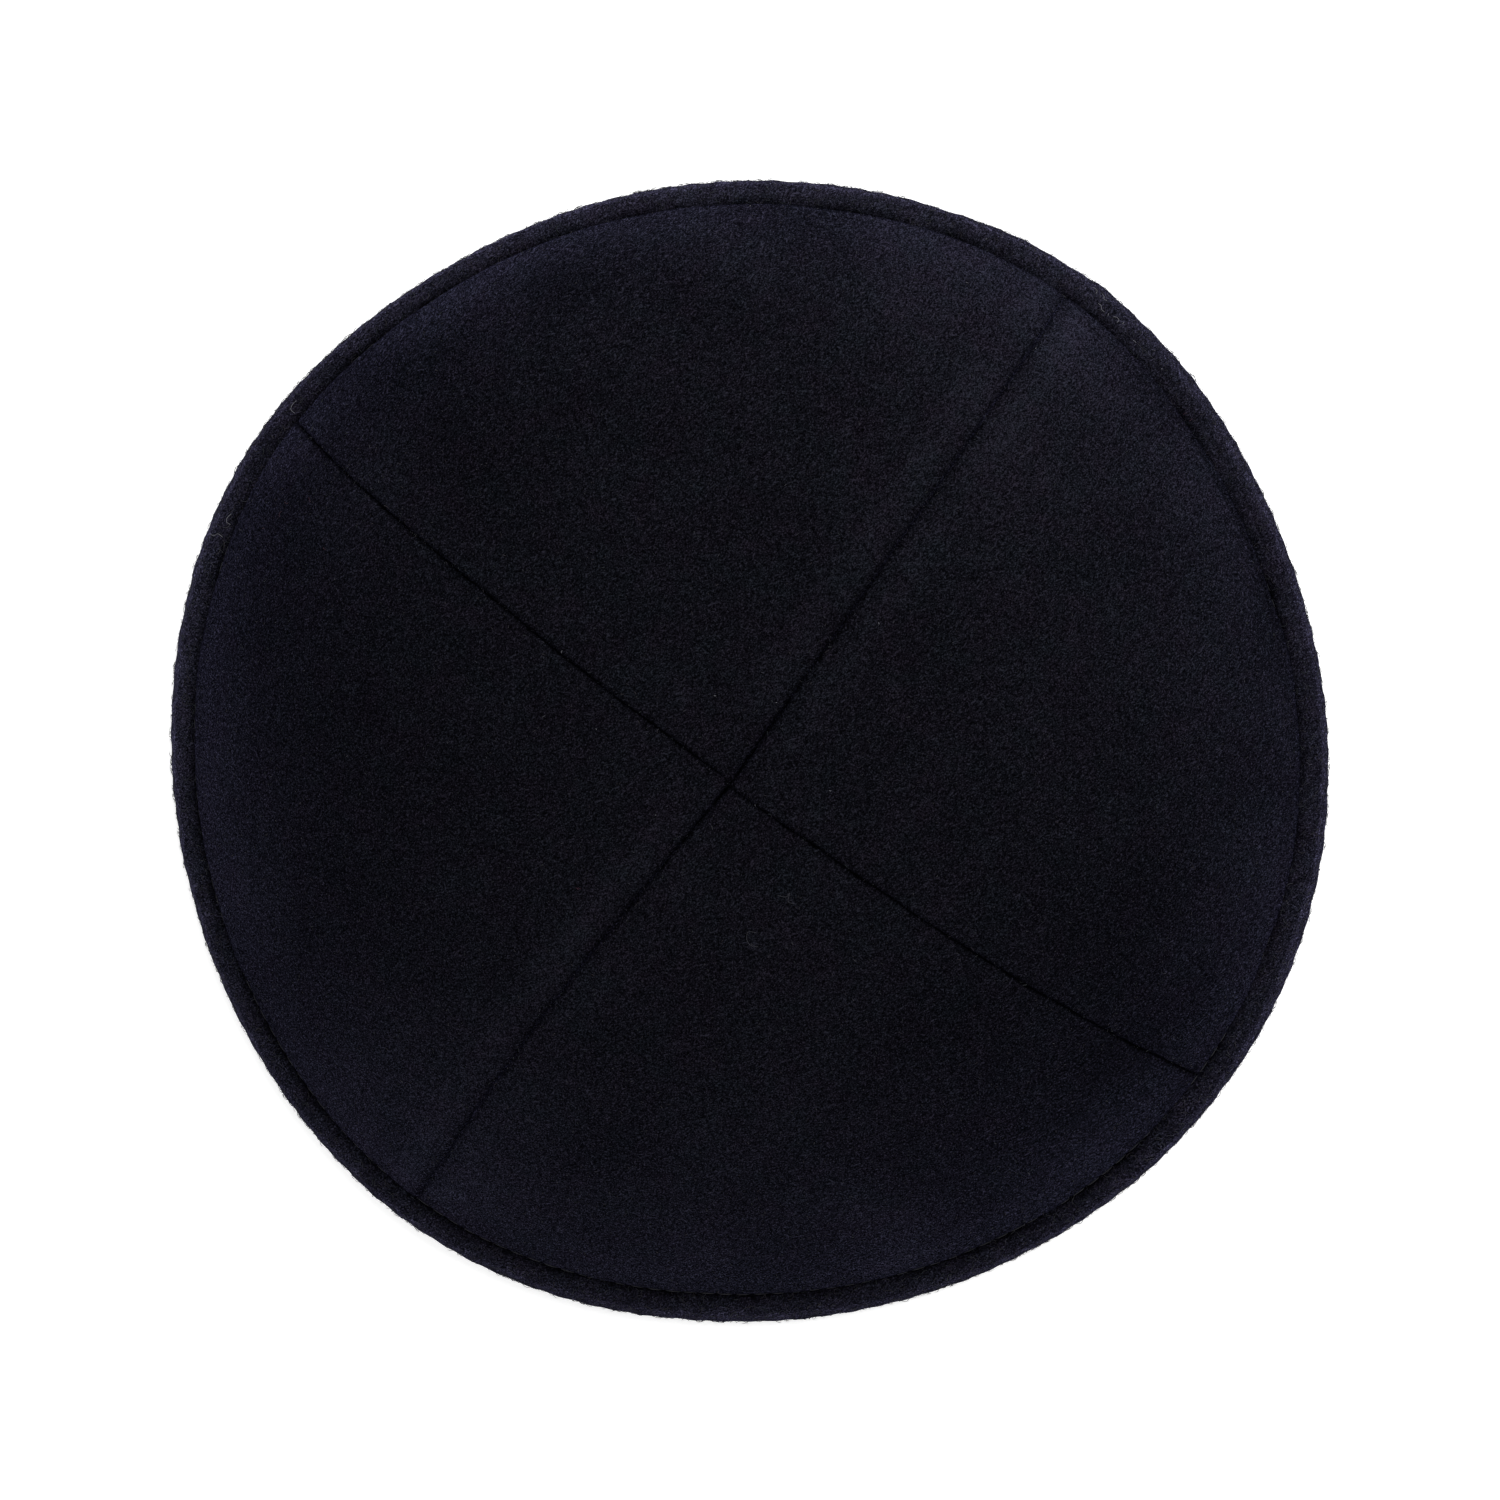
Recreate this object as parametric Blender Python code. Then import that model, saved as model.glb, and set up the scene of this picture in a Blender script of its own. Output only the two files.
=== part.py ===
"""Four-panel wool-felt skullcap with a bound rim, at its real size in metres.

Four panels meet at the crown and at four seams, where each panel's cloth turns back inside as a seam
allowance. A folded strip of the same cloth wraps the cut edge all round and carries the cap on a
flat surface. Z is up, the cap rests at z = 0, and the panels are centred on the X and Y axes.
"""

import functools
import math
from collections import namedtuple

import bmesh
import bpy
import numpy as np

# Size and form of the crown
RIM_DIAMETER = 0.1707  # across the panels' cut edge, on average
CAP_HEIGHT = 0.052  # from the surface it rests on to the crown
CROWN_FULLNESS = 2.3  # 2 is an ellipse; more is a flatter crown with fuller shoulders
REACH_SHORTFALL = 0.133  # how far short of that form's upright end the wall is cut, on average
SHORTFALL_SWING = 0.115  # how much less this is where the wall is steepest, and more across from it
STEEPEST_DEG = 99  # direction in which the wall is steepest
MEAN_REACH = 1 - REACH_SHORTFALL

# Cloth and seams of the panels
FELT = 0.0018  # thickness of the panel cloth
SEAM_GAP = 0.0003  # between two panels' turned edges
SEAM_ROUNDING = 0.0006  # of a turned edge
SEAM_ALLOWANCE = 0.0060  # width of the cloth turned back inside
ALLOWANCE_STEP = 0.0012  # over which its cut edge runs out
ALLOWANCE_MARGIN = 0.0010  # from its trimmed end to the binding
TIP_RADIUS = 0.0006  # where a panel's point ends, short of the crown's centre

# Folded binding strip
BINDING_CLOTH = 0.0014  # thickness of the binding cloth
BINDING_WIDTH = 0.0053  # of the strip that shows outside, up the wall from the cut edge
BINDING_INSIDE = 0.0050  # of the strip inside
BINDING_CLEARANCE = 0.0003  # to the panels
BINDING_PUFF = 0.0003  # how far the strip swells between its edges
BINDING_ROUNDING = 0.0006  # of the strip's two edges
REST_FLATTENING = 0.0005  # of the fold where it rests

# Facets
PANEL_FIELD_COLUMNS = 13  # across a panel, between its two seam allowances
PANEL_ROWS = 15  # from the crown down to where the allowances are trimmed
WALL_STEPS = 64  # at which the wall's length is summed
FOLD_STEPS = 8  # round the binding's fold
SHARP_ANGLE_DEG = 40  # above which an edge isn't shaded smooth

# Where the swelling of the outside strip starts and ends, as shares of its width
PUFF_START = 0.30
PUFF_END = 0.62

# Shares of a panel's half width that its edge details take at most, near its point
ROUNDING_LIMIT = 0.30
ALLOWANCE_LIMIT = 0.55
STEP_LIMIT = 0.25

FELT_COLOUR = (0.0060, 0.0062, 0.0105, 1.0)
BINDING_COLOUR = (0.0066, 0.0068, 0.0112, 1.0)
FELT_ROUGHNESS = 0.95

# The rim isn't round: it is wider to the sides, and its corners lie near the seams. Each wave goes
# round the rim order times, and its height is a share of the rim's radius.
RimWave = namedtuple("RimWave", "order height crest_deg")
RIM_WAVES = (
    RimWave(order=2, height=0.0063, crest_deg=0),
    RimWave(order=4, height=0.0087, crest_deg=51),
    RimWave(order=5, height=0.0008, crest_deg=70),
    RimWave(order=6, height=0.0016, crest_deg=37),
    RimWave(order=7, height=0.0012, crest_deg=37),
    RimWave(order=8, height=0.0010, crest_deg=1),
)

# bow is how far the seam leans to the left as seen from the crown, as a share of the rim's radius
Seam = namedtuple("Seam", "name azimuth_deg bow")
SEAMS = (
    Seam(name="back_right", azimuth_deg=46.2, bow=-0.002),
    Seam(name="back_left", azimuth_deg=133.7, bow=0.000),
    Seam(name="front_left", azimuth_deg=224.3, bow=-0.018),
    Seam(name="front_right", azimuth_deg=316.2, bow=-0.008),
)

Panel = namedtuple("Panel", "name right_seam left_seam")
PANELS = (
    Panel(name="panel_back", right_seam="back_right", left_seam="back_left"),
    Panel(name="panel_left", right_seam="back_left", left_seam="front_left"),
    Panel(name="panel_front", right_seam="front_left", left_seam="front_right"),
    Panel(name="panel_right", right_seam="front_right", left_seam="back_right"),
)

# The strip was sewn by hand and eye: width is a share of BINDING_WIDTH
BindingStation = namedtuple("BindingStation", "azimuth_deg width")
BINDING_STATIONS = (
    BindingStation(azimuth_deg=0, width=0.98),
    BindingStation(azimuth_deg=30, width=1.10),
    BindingStation(azimuth_deg=60, width=0.97),
    BindingStation(azimuth_deg=90, width=0.97),
    BindingStation(azimuth_deg=120, width=1.06),
    BindingStation(azimuth_deg=150, width=1.05),
    BindingStation(azimuth_deg=180, width=0.98),
    BindingStation(azimuth_deg=210, width=0.99),
    BindingStation(azimuth_deg=240, width=1.10),
    BindingStation(azimuth_deg=270, width=0.98),
    BindingStation(azimuth_deg=300, width=0.90),
    BindingStation(azimuth_deg=330, width=1.02),
)

COLLECTION = "felt_skullcap"
RIM_RADIUS = RIM_DIAMETER / 2
SETTLING_PASSES = 8  # enough for the cut edge's height to settle to a nanometre
FOLD_RADIUS = FELT / 2 + BINDING_CLEARANCE + BINDING_CLOTH


def form_drop(share, reach):
    """How far the wall has come down at this share of the radius, from 0 at the crown to 1 at the rim."""
    level = 1 / CROWN_FULLNESS
    lowest = 1 - (1 - reach**CROWN_FULLNESS) ** level
    return (1 - (1 - (reach * share) ** CROWN_FULLNESS) ** level) / lowest


def form_slope(share, reach):
    """The rate at which form_drop grows with the share."""
    level = 1 / CROWN_FULLNESS
    lowest = 1 - (1 - reach**CROWN_FULLNESS) ** level
    steepness = (1 - (reach * share) ** CROWN_FULLNESS) ** (level - 1)
    return reach**CROWN_FULLNESS * share ** (CROWN_FULLNESS - 1) * steepness / lowest


def cut_edge_height():
    """Height of the panels' cut edge that lets the flattened fold below it reach the surface."""
    height = 0.0
    for _ in range(SETTLING_PASSES):
        slope = form_slope(1.0, MEAN_REACH) * (CAP_HEIGHT - height)
        upward = RIM_RADIUS / math.hypot(RIM_RADIUS, slope)
        height = FOLD_RADIUS - REST_FLATTENING + upward * FELT / 2
    return height


CROWN_RISE = CAP_HEIGHT - cut_edge_height()


def reach_at(azimuth):
    """How far out the wall follows the crown's form in this direction."""
    return MEAN_REACH + SHORTFALL_SWING * math.cos(azimuth - math.radians(STEEPEST_DEG))


def rim_share(azimuth):
    """The rim's radius in this direction as a share of RIM_RADIUS."""
    return 1 + sum(
        wave.height * math.cos(wave.order * (azimuth - math.radians(wave.crest_deg)))
        for wave in RIM_WAVES
    )


def wall_normal(share, azimuth):
    """(outward, upward) parts of the outer surface's normal."""
    outward = CROWN_RISE * form_slope(share, reach_at(azimuth))
    upward = RIM_RADIUS * rim_share(azimuth)
    length = math.hypot(outward, upward)
    return outward / length, upward / length


def wall_position(share, azimuth, inset=0.0):
    """(radius, height) of the point inset below the outer surface; share goes from 0, the crown, to 1."""
    outward, upward = wall_normal(share, azimuth)
    radius = RIM_RADIUS * share * rim_share(azimuth) - outward * inset
    height = CAP_HEIGHT - CROWN_RISE * form_drop(share, reach_at(azimuth)) - upward * inset
    return radius, height


@functools.lru_cache(maxsize=None)
def wall_lengths(azimuth):
    """Shares from the crown to the rim in this direction, and the wall's length from the crown to each."""
    shares = np.sin(np.linspace(0, math.pi / 2, WALL_STEPS + 1))
    radii = RIM_RADIUS * shares * rim_share(azimuth)
    heights = CROWN_RISE * form_drop(shares, reach_at(azimuth))
    steps = np.hypot(np.diff(radii), np.diff(heights))
    return shares, np.concatenate([[0], np.cumsum(steps)])


def share_above_edge(distance, azimuth):
    """The share at this distance up the wall from the cut edge."""
    shares, lengths = wall_lengths(azimuth)
    return float(np.interp(lengths[-1] - distance, lengths, shares))


def turned(azimuth, radius, height):
    """The point at this radius and height in this direction."""
    return (radius * math.cos(azimuth), radius * math.sin(azimuth), height)


# Where a seam crosses a section: its direction, the radius there and half the gap as an angle
SeamCrossing = namedtuple("SeamCrossing", "azimuth radius gap")


def seam_at(name, down):
    """The named seam's crossing with the section that lies down(azimuth) of the way out."""
    seam = next(s for s in SEAMS if s.name == name)
    straight = math.radians(seam.azimuth_deg)
    share = down(straight)
    radius = RIM_RADIUS * share
    lean = seam.bow * math.sin(math.pi * share) / share
    return SeamCrossing(straight + lean, radius, math.asin(SEAM_GAP / 2 / radius))


def finish(name, mesh, colour):
    """Links a closed mesh as a named object in the cap's collection, with its own felt material."""
    bmesh.ops.recalc_face_normals(mesh, faces=mesh.faces)
    data = bpy.data.meshes.new(name)
    mesh.to_mesh(data)
    mesh.free()
    data.shade_smooth()
    data.set_sharp_from_angle(angle=math.radians(SHARP_ANGLE_DEG))
    material = bpy.data.materials.new(name + "_felt")
    material.use_nodes = True
    shader = material.node_tree.nodes["Principled BSDF"]
    shader.inputs["Base Color"].default_value = colour
    shader.inputs["Roughness"].default_value = FELT_ROUGHNESS
    shader.inputs["Metallic"].default_value = 0.0
    data.materials.append(material)
    piece = bpy.data.objects.new(name, data)
    bpy.data.collections[COLLECTION].objects.link(piece)


def bridged(mesh, rings, cyclic=False):
    """Joins successive rings of points with quads, and the last to the first when cyclic."""
    rows = [[mesh.verts.new(point) for point in ring] for ring in rings]
    following = rows[1:] + rows[:1] if cyclic else rows[1:]
    for low, high in zip(rows, following):
        for k, corner in enumerate(low):
            after = (k + 1) % len(low)
            mesh.faces.new((corner, low[after], high[after], high[k]))
    return rows


def strip_cap(mesh, row):
    """Closes the end of a folded-over row, whose second half runs back under its first."""
    last = len(row) - 1
    for k in range(len(row) // 2 - 1):
        mesh.faces.new((row[k], row[k + 1], row[last - k - 1], row[last - k]))


def edge_columns(half_width, allowance_share):
    """(distance from the turned edge, outer inset, inner inset) for the columns beside a seam."""
    rounding = min(SEAM_ROUNDING, ROUNDING_LIMIT * half_width)
    corner = rounding * (1 - math.sqrt(0.5))
    allowance = min(SEAM_ALLOWANCE, ALLOWANCE_LIMIT * half_width)
    step = min(ALLOWANCE_STEP, STEP_LIMIT * half_width)
    doubled = FELT * (1 + allowance_share)
    return (
        (0.0, rounding, doubled - rounding),
        (corner, corner, doubled - corner),
        (rounding, 0.0, doubled),
        (allowance, 0.0, doubled),
        (allowance + step, 0.0, FELT),
    )


def panel_ring(panel, down, allowance_share):
    """One section across a panel: its outer points from seam to seam, then its inner ones back.

    down gives the share at which the section crosses each direction.
    """
    first_seam = seam_at(panel.right_seam, down)
    last_seam = seam_at(panel.left_seam, down)
    start = first_seam.azimuth
    span = (last_seam.azimuth - start) % math.tau
    half = span / 2
    before = edge_columns(half * first_seam.radius, allowance_share)
    after = edge_columns(half * last_seam.radius, allowance_share)
    columns = [(first_seam.gap + d / first_seam.radius, outer, inner) for d, outer, inner in before]
    mirrored = [
        (span - last_seam.gap - d / last_seam.radius, outer, inner) for d, outer, inner in reversed(after)
    ]
    first, last = columns[-1][0], mirrored[0][0]
    field = [
        (first + (last - first) * (k + 1) / (PANEL_FIELD_COLUMNS + 1), 0.0, FELT)
        for k in range(PANEL_FIELD_COLUMNS)
    ]
    across = [(start + angle, outer, inner) for angle, outer, inner in columns + field + mirrored]
    outside = [
        turned(azimuth, *wall_position(down(azimuth), azimuth, outer)) for azimuth, outer, _ in across
    ]
    inside = [
        turned(azimuth, *wall_position(down(azimuth), azimuth, inner))
        for azimuth, _, inner in reversed(across)
    ]
    return outside + inside


def panel_sections():
    """(how far down it crosses, how much of the allowance is left there) for each of a panel's sections."""
    trimmed = BINDING_INSIDE + ALLOWANCE_MARGIN
    full = trimmed + ALLOWANCE_STEP

    def along_wall(share_of_wall):
        def down(azimuth):
            length = wall_lengths(azimuth)[1][-1]
            above = (length - TIP_RADIUS) * (1 - share_of_wall) + full * share_of_wall
            return share_above_edge(above, azimuth)

        return down

    def above_edge(distance):
        return functools.partial(share_above_edge, distance)

    upper = [(along_wall(k / (PANEL_ROWS - 1)), 1.0) for k in range(PANEL_ROWS)]
    lower = [(above_edge(distance), 0.0) for distance in (trimmed, trimmed / 2, 0.0)]
    return upper + lower


def build_panel(panel):
    """One felt panel: a curved gore whose seam edges are turned and doubled inside."""
    mesh = bmesh.new()
    rings = [panel_ring(panel, down, left) for down, left in panel_sections()]
    rows = bridged(mesh, rings)
    strip_cap(mesh, rows[0])
    strip_cap(mesh, rows[-1])
    finish(panel.name, mesh, FELT_COLOUR)


def binding_width(azimuth):
    """Width of the strip outside in this direction, eased between its stations."""
    degrees = math.degrees(azimuth) % 360
    spacing = 360 / len(BINDING_STATIONS)
    k = int(degrees // spacing)
    here = BINDING_STATIONS[k]
    after = BINDING_STATIONS[(k + 1) % len(BINDING_STATIONS)]
    along = (degrees - here.azimuth_deg) / spacing
    eased = (1 - math.cos(math.pi * along)) / 2
    return BINDING_WIDTH * (here.width + (after.width - here.width) * eased)


def fold_arc(azimuth):
    """The fold's outer side, from the strip's outer face round below the cut edge to its inner face."""
    outward, upward = wall_normal(1.0, azimuth)
    middle_radius, middle_height = wall_position(1.0, azimuth, FELT / 2)
    arc = []
    for k in range(FOLD_STEPS + 1):
        turn = math.pi * k / FOLD_STEPS
        radius = FOLD_RADIUS * (outward * math.cos(turn) + upward * math.sin(turn))
        height = FOLD_RADIUS * (upward * math.cos(turn) - outward * math.sin(turn))
        arc.append((middle_radius + radius, max(0.0, middle_height + height)))
    return arc


def binding_ring(azimuth):
    """The strip's folded section in this direction, as one closed outline."""
    outward, upward = wall_normal(1.0, azimuth)
    width = binding_width(azimuth)
    near_outside = -BINDING_CLEARANCE
    far_outside = near_outside - BINDING_CLOTH
    near_inside = FELT + BINDING_CLEARANCE
    far_inside = near_inside + BINDING_CLOTH

    def up_wall(distance, inset):
        return wall_position(share_above_edge(distance, azimuth), azimuth, inset)

    def below_edge(inset):
        radius, height = wall_position(1.0, azimuth, inset)
        return radius + upward * BINDING_CLEARANCE, height - outward * BINDING_CLEARANCE

    outside_face = [
        up_wall(width, far_outside + BINDING_ROUNDING),
        up_wall(width - BINDING_ROUNDING, far_outside),
        up_wall(PUFF_END * width, far_outside - BINDING_PUFF),
        up_wall(PUFF_START * width, far_outside - BINDING_PUFF),
    ]
    inside_face = [
        up_wall(BINDING_INSIDE / 2, far_inside),
        up_wall(BINDING_INSIDE - BINDING_ROUNDING, far_inside),
        up_wall(BINDING_INSIDE, far_inside - BINDING_ROUNDING),
    ]
    channel = [
        up_wall(BINDING_INSIDE, near_inside),
        below_edge(near_inside),
        below_edge(near_outside),
        up_wall(width / 2, near_outside),
        up_wall(width, near_outside),
    ]
    outline = outside_face + fold_arc(azimuth) + inside_face + channel
    return [turned(azimuth, radius, height) for radius, height in outline]


def binding_azimuths():
    """Directions of the binding's sections, which match the panels' columns at the rim."""
    allowance = (SEAM_ALLOWANCE + SEAM_GAP / 2) / RIM_RADIUS
    stepped = allowance + ALLOWANCE_STEP / RIM_RADIUS
    directions = []
    for panel in PANELS:
        start, end = (
            next(math.radians(s.azimuth_deg) for s in SEAMS if s.name == name)
            for name in (panel.right_seam, panel.left_seam)
        )
        span = (end - start) % math.tau
        field = [
            stepped + (span - 2 * stepped) * k / (PANEL_FIELD_COLUMNS + 1)
            for k in range(PANEL_FIELD_COLUMNS + 2)
        ]
        directions += [start + angle for angle in (0.0, allowance, *field, span - allowance)]
    return directions


def build_binding():
    """The folded strip that wraps the cut edge all the way round."""
    mesh = bmesh.new()
    bridged(mesh, [binding_ring(azimuth) for azimuth in binding_azimuths()], cyclic=True)
    finish("rim_binding", mesh, BINDING_COLOUR)


def main():
    """Clears the scene and builds the cap."""
    for old in list(bpy.data.objects):
        bpy.data.objects.remove(old)
    cap = bpy.data.collections.new(COLLECTION)
    bpy.context.scene.collection.children.link(cap)
    for panel in PANELS:
        build_panel(panel)
    build_binding()


main()
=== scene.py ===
"""The finished look of a four-panel wool-felt skullcap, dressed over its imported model.

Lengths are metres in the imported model's frame: Z is up, the cap rests at z = 0, and the panels are
centred on the X and Y axes. An azimuth is counted from +X towards +Y.
"""

import logging
import math
from dataclasses import dataclass, field
from enum import Enum
from typing import ClassVar, Dict, List, Mapping, Optional, Sequence, Tuple, Union

import bmesh
import bpy
import numpy as np
from mathutils import Matrix, Vector, noise
from mathutils.bvhtree import BVHTree


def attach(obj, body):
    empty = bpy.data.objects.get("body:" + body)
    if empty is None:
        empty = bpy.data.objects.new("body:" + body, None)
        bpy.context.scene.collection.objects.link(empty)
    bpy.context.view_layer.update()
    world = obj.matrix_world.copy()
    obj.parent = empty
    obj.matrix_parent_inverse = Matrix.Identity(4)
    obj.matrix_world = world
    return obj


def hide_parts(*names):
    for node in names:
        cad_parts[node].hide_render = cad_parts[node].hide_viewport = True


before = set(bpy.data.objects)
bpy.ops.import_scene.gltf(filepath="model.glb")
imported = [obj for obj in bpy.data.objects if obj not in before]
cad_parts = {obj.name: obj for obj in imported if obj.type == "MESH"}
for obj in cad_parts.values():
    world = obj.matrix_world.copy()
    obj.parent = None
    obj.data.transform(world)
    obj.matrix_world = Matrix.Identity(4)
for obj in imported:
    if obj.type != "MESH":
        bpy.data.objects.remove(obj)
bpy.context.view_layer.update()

LOG = logging.getLogger("skullcap")
BODY = "root"
# Name of the corner attribute that scales the felt's cover: painted light and shade, with some random tone.
LIGHT_AND_TONE = "openness"
MILLIMETRE = 0.001
TABLE_GAP = 0.00002
DROP_HEIGHT = 0.2

Colour = Tuple[float, float, float]
Point = Tuple[float, float, float]
Array = np.ndarray
Socket = bpy.types.NodeSocket
Node = bpy.types.Node
Tree = bpy.types.NodeTree
Object = bpy.types.Object
Material = bpy.types.Material


# Node trees


class Value:
    """A socket that carries one number, on which Python's operators add Math nodes."""

    def __init__(self, builder: "TreeBuilder", socket: Socket) -> None:
        """Keeps the output socket and the tree under construction."""
        self.builder = builder
        self.socket = socket

    def math(self, operation: str, *others: "Number", clamp: bool = False) -> "Value":
        """Adds a Math node whose first input is this value, and returns its result."""
        return self.builder.math(operation, self, *others, clamp=clamp)

    def __add__(self, other: "Number") -> "Value":
        """Returns self + other."""
        return self.math("ADD", other)

    def __radd__(self, other: "Number") -> "Value":
        """Returns other + self."""
        return self.builder.math("ADD", other, self)

    def __sub__(self, other: "Number") -> "Value":
        """Returns self - other."""
        return self.math("SUBTRACT", other)

    def __rsub__(self, other: "Number") -> "Value":
        """Returns other - self."""
        return self.builder.math("SUBTRACT", other, self)

    def __mul__(self, other: "Number") -> "Value":
        """Returns self * other."""
        return self.math("MULTIPLY", other)

    def __rmul__(self, other: "Number") -> "Value":
        """Returns other * self."""
        return self.builder.math("MULTIPLY", other, self)

    def __truediv__(self, other: "Number") -> "Value":
        """Returns self / other."""
        return self.math("DIVIDE", other)

    def exponent(self) -> "Value":
        """Returns e to the power of the value."""
        return self.math("EXPONENT")

    def clamped(self) -> "Value":
        """Returns the value held between 0 and 1."""
        return self.math("ADD", 0.0, clamp=True)

    def ramped(self, start: float, end: float) -> "Value":
        """Returns 0 below start, 1 above end, and a straight rise between them."""
        return ((self - start) / (end - start)).clamped()


Number = Union[float, Value]
Input = Union[Value, Socket, float, int, bool, Sequence[float], bpy.types.ID]


class TreeBuilder:
    """A node tree under construction."""

    def __init__(self, tree: Tree) -> None:
        """Keeps the tree to build in, and empties it."""
        self.tree = tree
        self.tree.nodes.clear()

    @staticmethod
    def _socket(sockets: bpy.types.bpy_prop_collection, key: Union[str, int]) -> Socket:
        """Finds a socket by its place or, among those in use, by its name.

        Args:
            sockets: A node's inputs or outputs.
            key: The socket's index or name.

        Returns:
            The socket.
        """
        if isinstance(key, int):
            return sockets[key]
        return next(socket for socket in sockets if socket.enabled and socket.name == key)

    def node(
        self,
        kind: str,
        settings: Optional[Mapping[str, object]] = None,
        inputs: Optional[Mapping[Union[str, int], Input]] = None,
    ) -> Node:
        """Adds a node, sets its settings first, and then its sockets.

        Args:
            kind: The node's type.
            settings: Properties of the node by name.
            inputs: Values or links of its inputs, by name or index.

        Returns:
            The new node.
        """
        made = self.tree.nodes.new(kind)
        for name, value in (settings or {}).items():
            setattr(made, name, value)
        for key, value in (inputs or {}).items():
            socket = self._socket(made.inputs, key)
            if isinstance(value, Value):
                self.tree.links.new(value.socket, socket)
            elif isinstance(value, Socket):
                self.tree.links.new(value, socket)
            else:
                socket.default_value = value
        return made

    def output(self, made: Node, key: Union[str, int] = 0) -> Socket:
        """Returns a node's output socket by its index or name."""
        return self._socket(made.outputs, key)

    def value(self, made: Node, key: Union[str, int] = 0) -> Value:
        """Returns a node's output as a number for expressions."""
        return Value(self, self.output(made, key))

    def math(self, operation: str, *operands: Number, clamp: bool = False) -> Value:
        """Adds a Math node, whose result is held between 0 and 1 if clamp is true."""
        settings = {"operation": operation, "use_clamp": clamp}
        return self.value(self.node("ShaderNodeMath", settings, dict(enumerate(operands))))


class ShaderBuilder(TreeBuilder):
    """A material's nodes under construction, in Object coordinates."""

    def __init__(self, name: str) -> None:
        """Makes the material and its coordinates.

        Args:
            name: The material's name.
        """
        self.material = bpy.data.materials.new(name)
        self.material.use_nodes = True
        super().__init__(self.material.node_tree)
        self.place = self.output(self.node("ShaderNodeTexCoord"), "Object")

    def stretched(
        self, place: Socket, degrees: Point, size: Point, offset: Point = (0.0, 0.0, 0.0)
    ) -> Socket:
        """Returns coordinates turned by three angles and then measured in other lengths.

        Args:
            place: The coordinates to start from.
            degrees: Turns about X, Y and Z.
            size: The length of one unit along each turned axis.
            offset: How far the pattern is moved.

        Returns:
            The vector socket.
        """
        turn = tuple(math.radians(angle) for angle in degrees)
        inputs = {"Vector": place, "Rotation": turn, "Scale": size, "Location": offset}
        return self.output(self.node("ShaderNodeMapping", {"vector_type": "TEXTURE"}, inputs))

    def warped(self, place: Socket, size: float, amount: float) -> Socket:
        """Returns the coordinates pushed about at random, so that straight patterns curl.

        Args:
            place: The coordinates to start from.
            size: The length over which the push changes.
            amount: How far it moves a point.

        Returns:
            The vector socket.
        """
        push = self.node("ShaderNodeTexNoise", None, {"Vector": place, "Scale": 1 / size, "Detail": 0.0})
        centred = self.node(
            "ShaderNodeVectorMath",
            {"operation": "SUBTRACT"},
            {0: self.output(push, "Color"), 1: (0.5, 0.5, 0.5)},
        )
        moved = self.node(
            "ShaderNodeVectorMath",
            {"operation": "MULTIPLY_ADD"},
            {0: self.output(centred), 1: (amount, amount, amount), 2: place},
        )
        return self.output(moved)

    def noise(self, place: Socket, size: float, detail: float = 0.0) -> Value:
        """Adds a pattern of this size from 0 to 1, with this many finer layers in it."""
        inputs = {"Vector": place, "Scale": 1 / size, "Detail": detail}
        return self.value(self.node("ShaderNodeTexNoise", None, inputs))

    def mixed(self, share: Number, first: Colour, second: Colour) -> Socket:
        """Mixes two colours, of which the second has this share."""
        inputs = {"Factor": share, "A": (*first, 1.0), "B": (*second, 1.0)}
        return self.output(self.node("ShaderNodeMix", {"data_type": "RGBA"}, inputs), "Result")

    def surface(self, inputs: Mapping[Union[str, int], Input]) -> Node:
        """Adds a Principled shader with these inputs."""
        return self.node("ShaderNodeBsdfPrincipled", None, inputs)

    def finish(self, shader: Node) -> Material:
        """Links the shader to the material's output, and returns the material."""
        self.node("ShaderNodeOutputMaterial", None, {"Surface": self.output(shader)})
        return self.material


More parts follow.
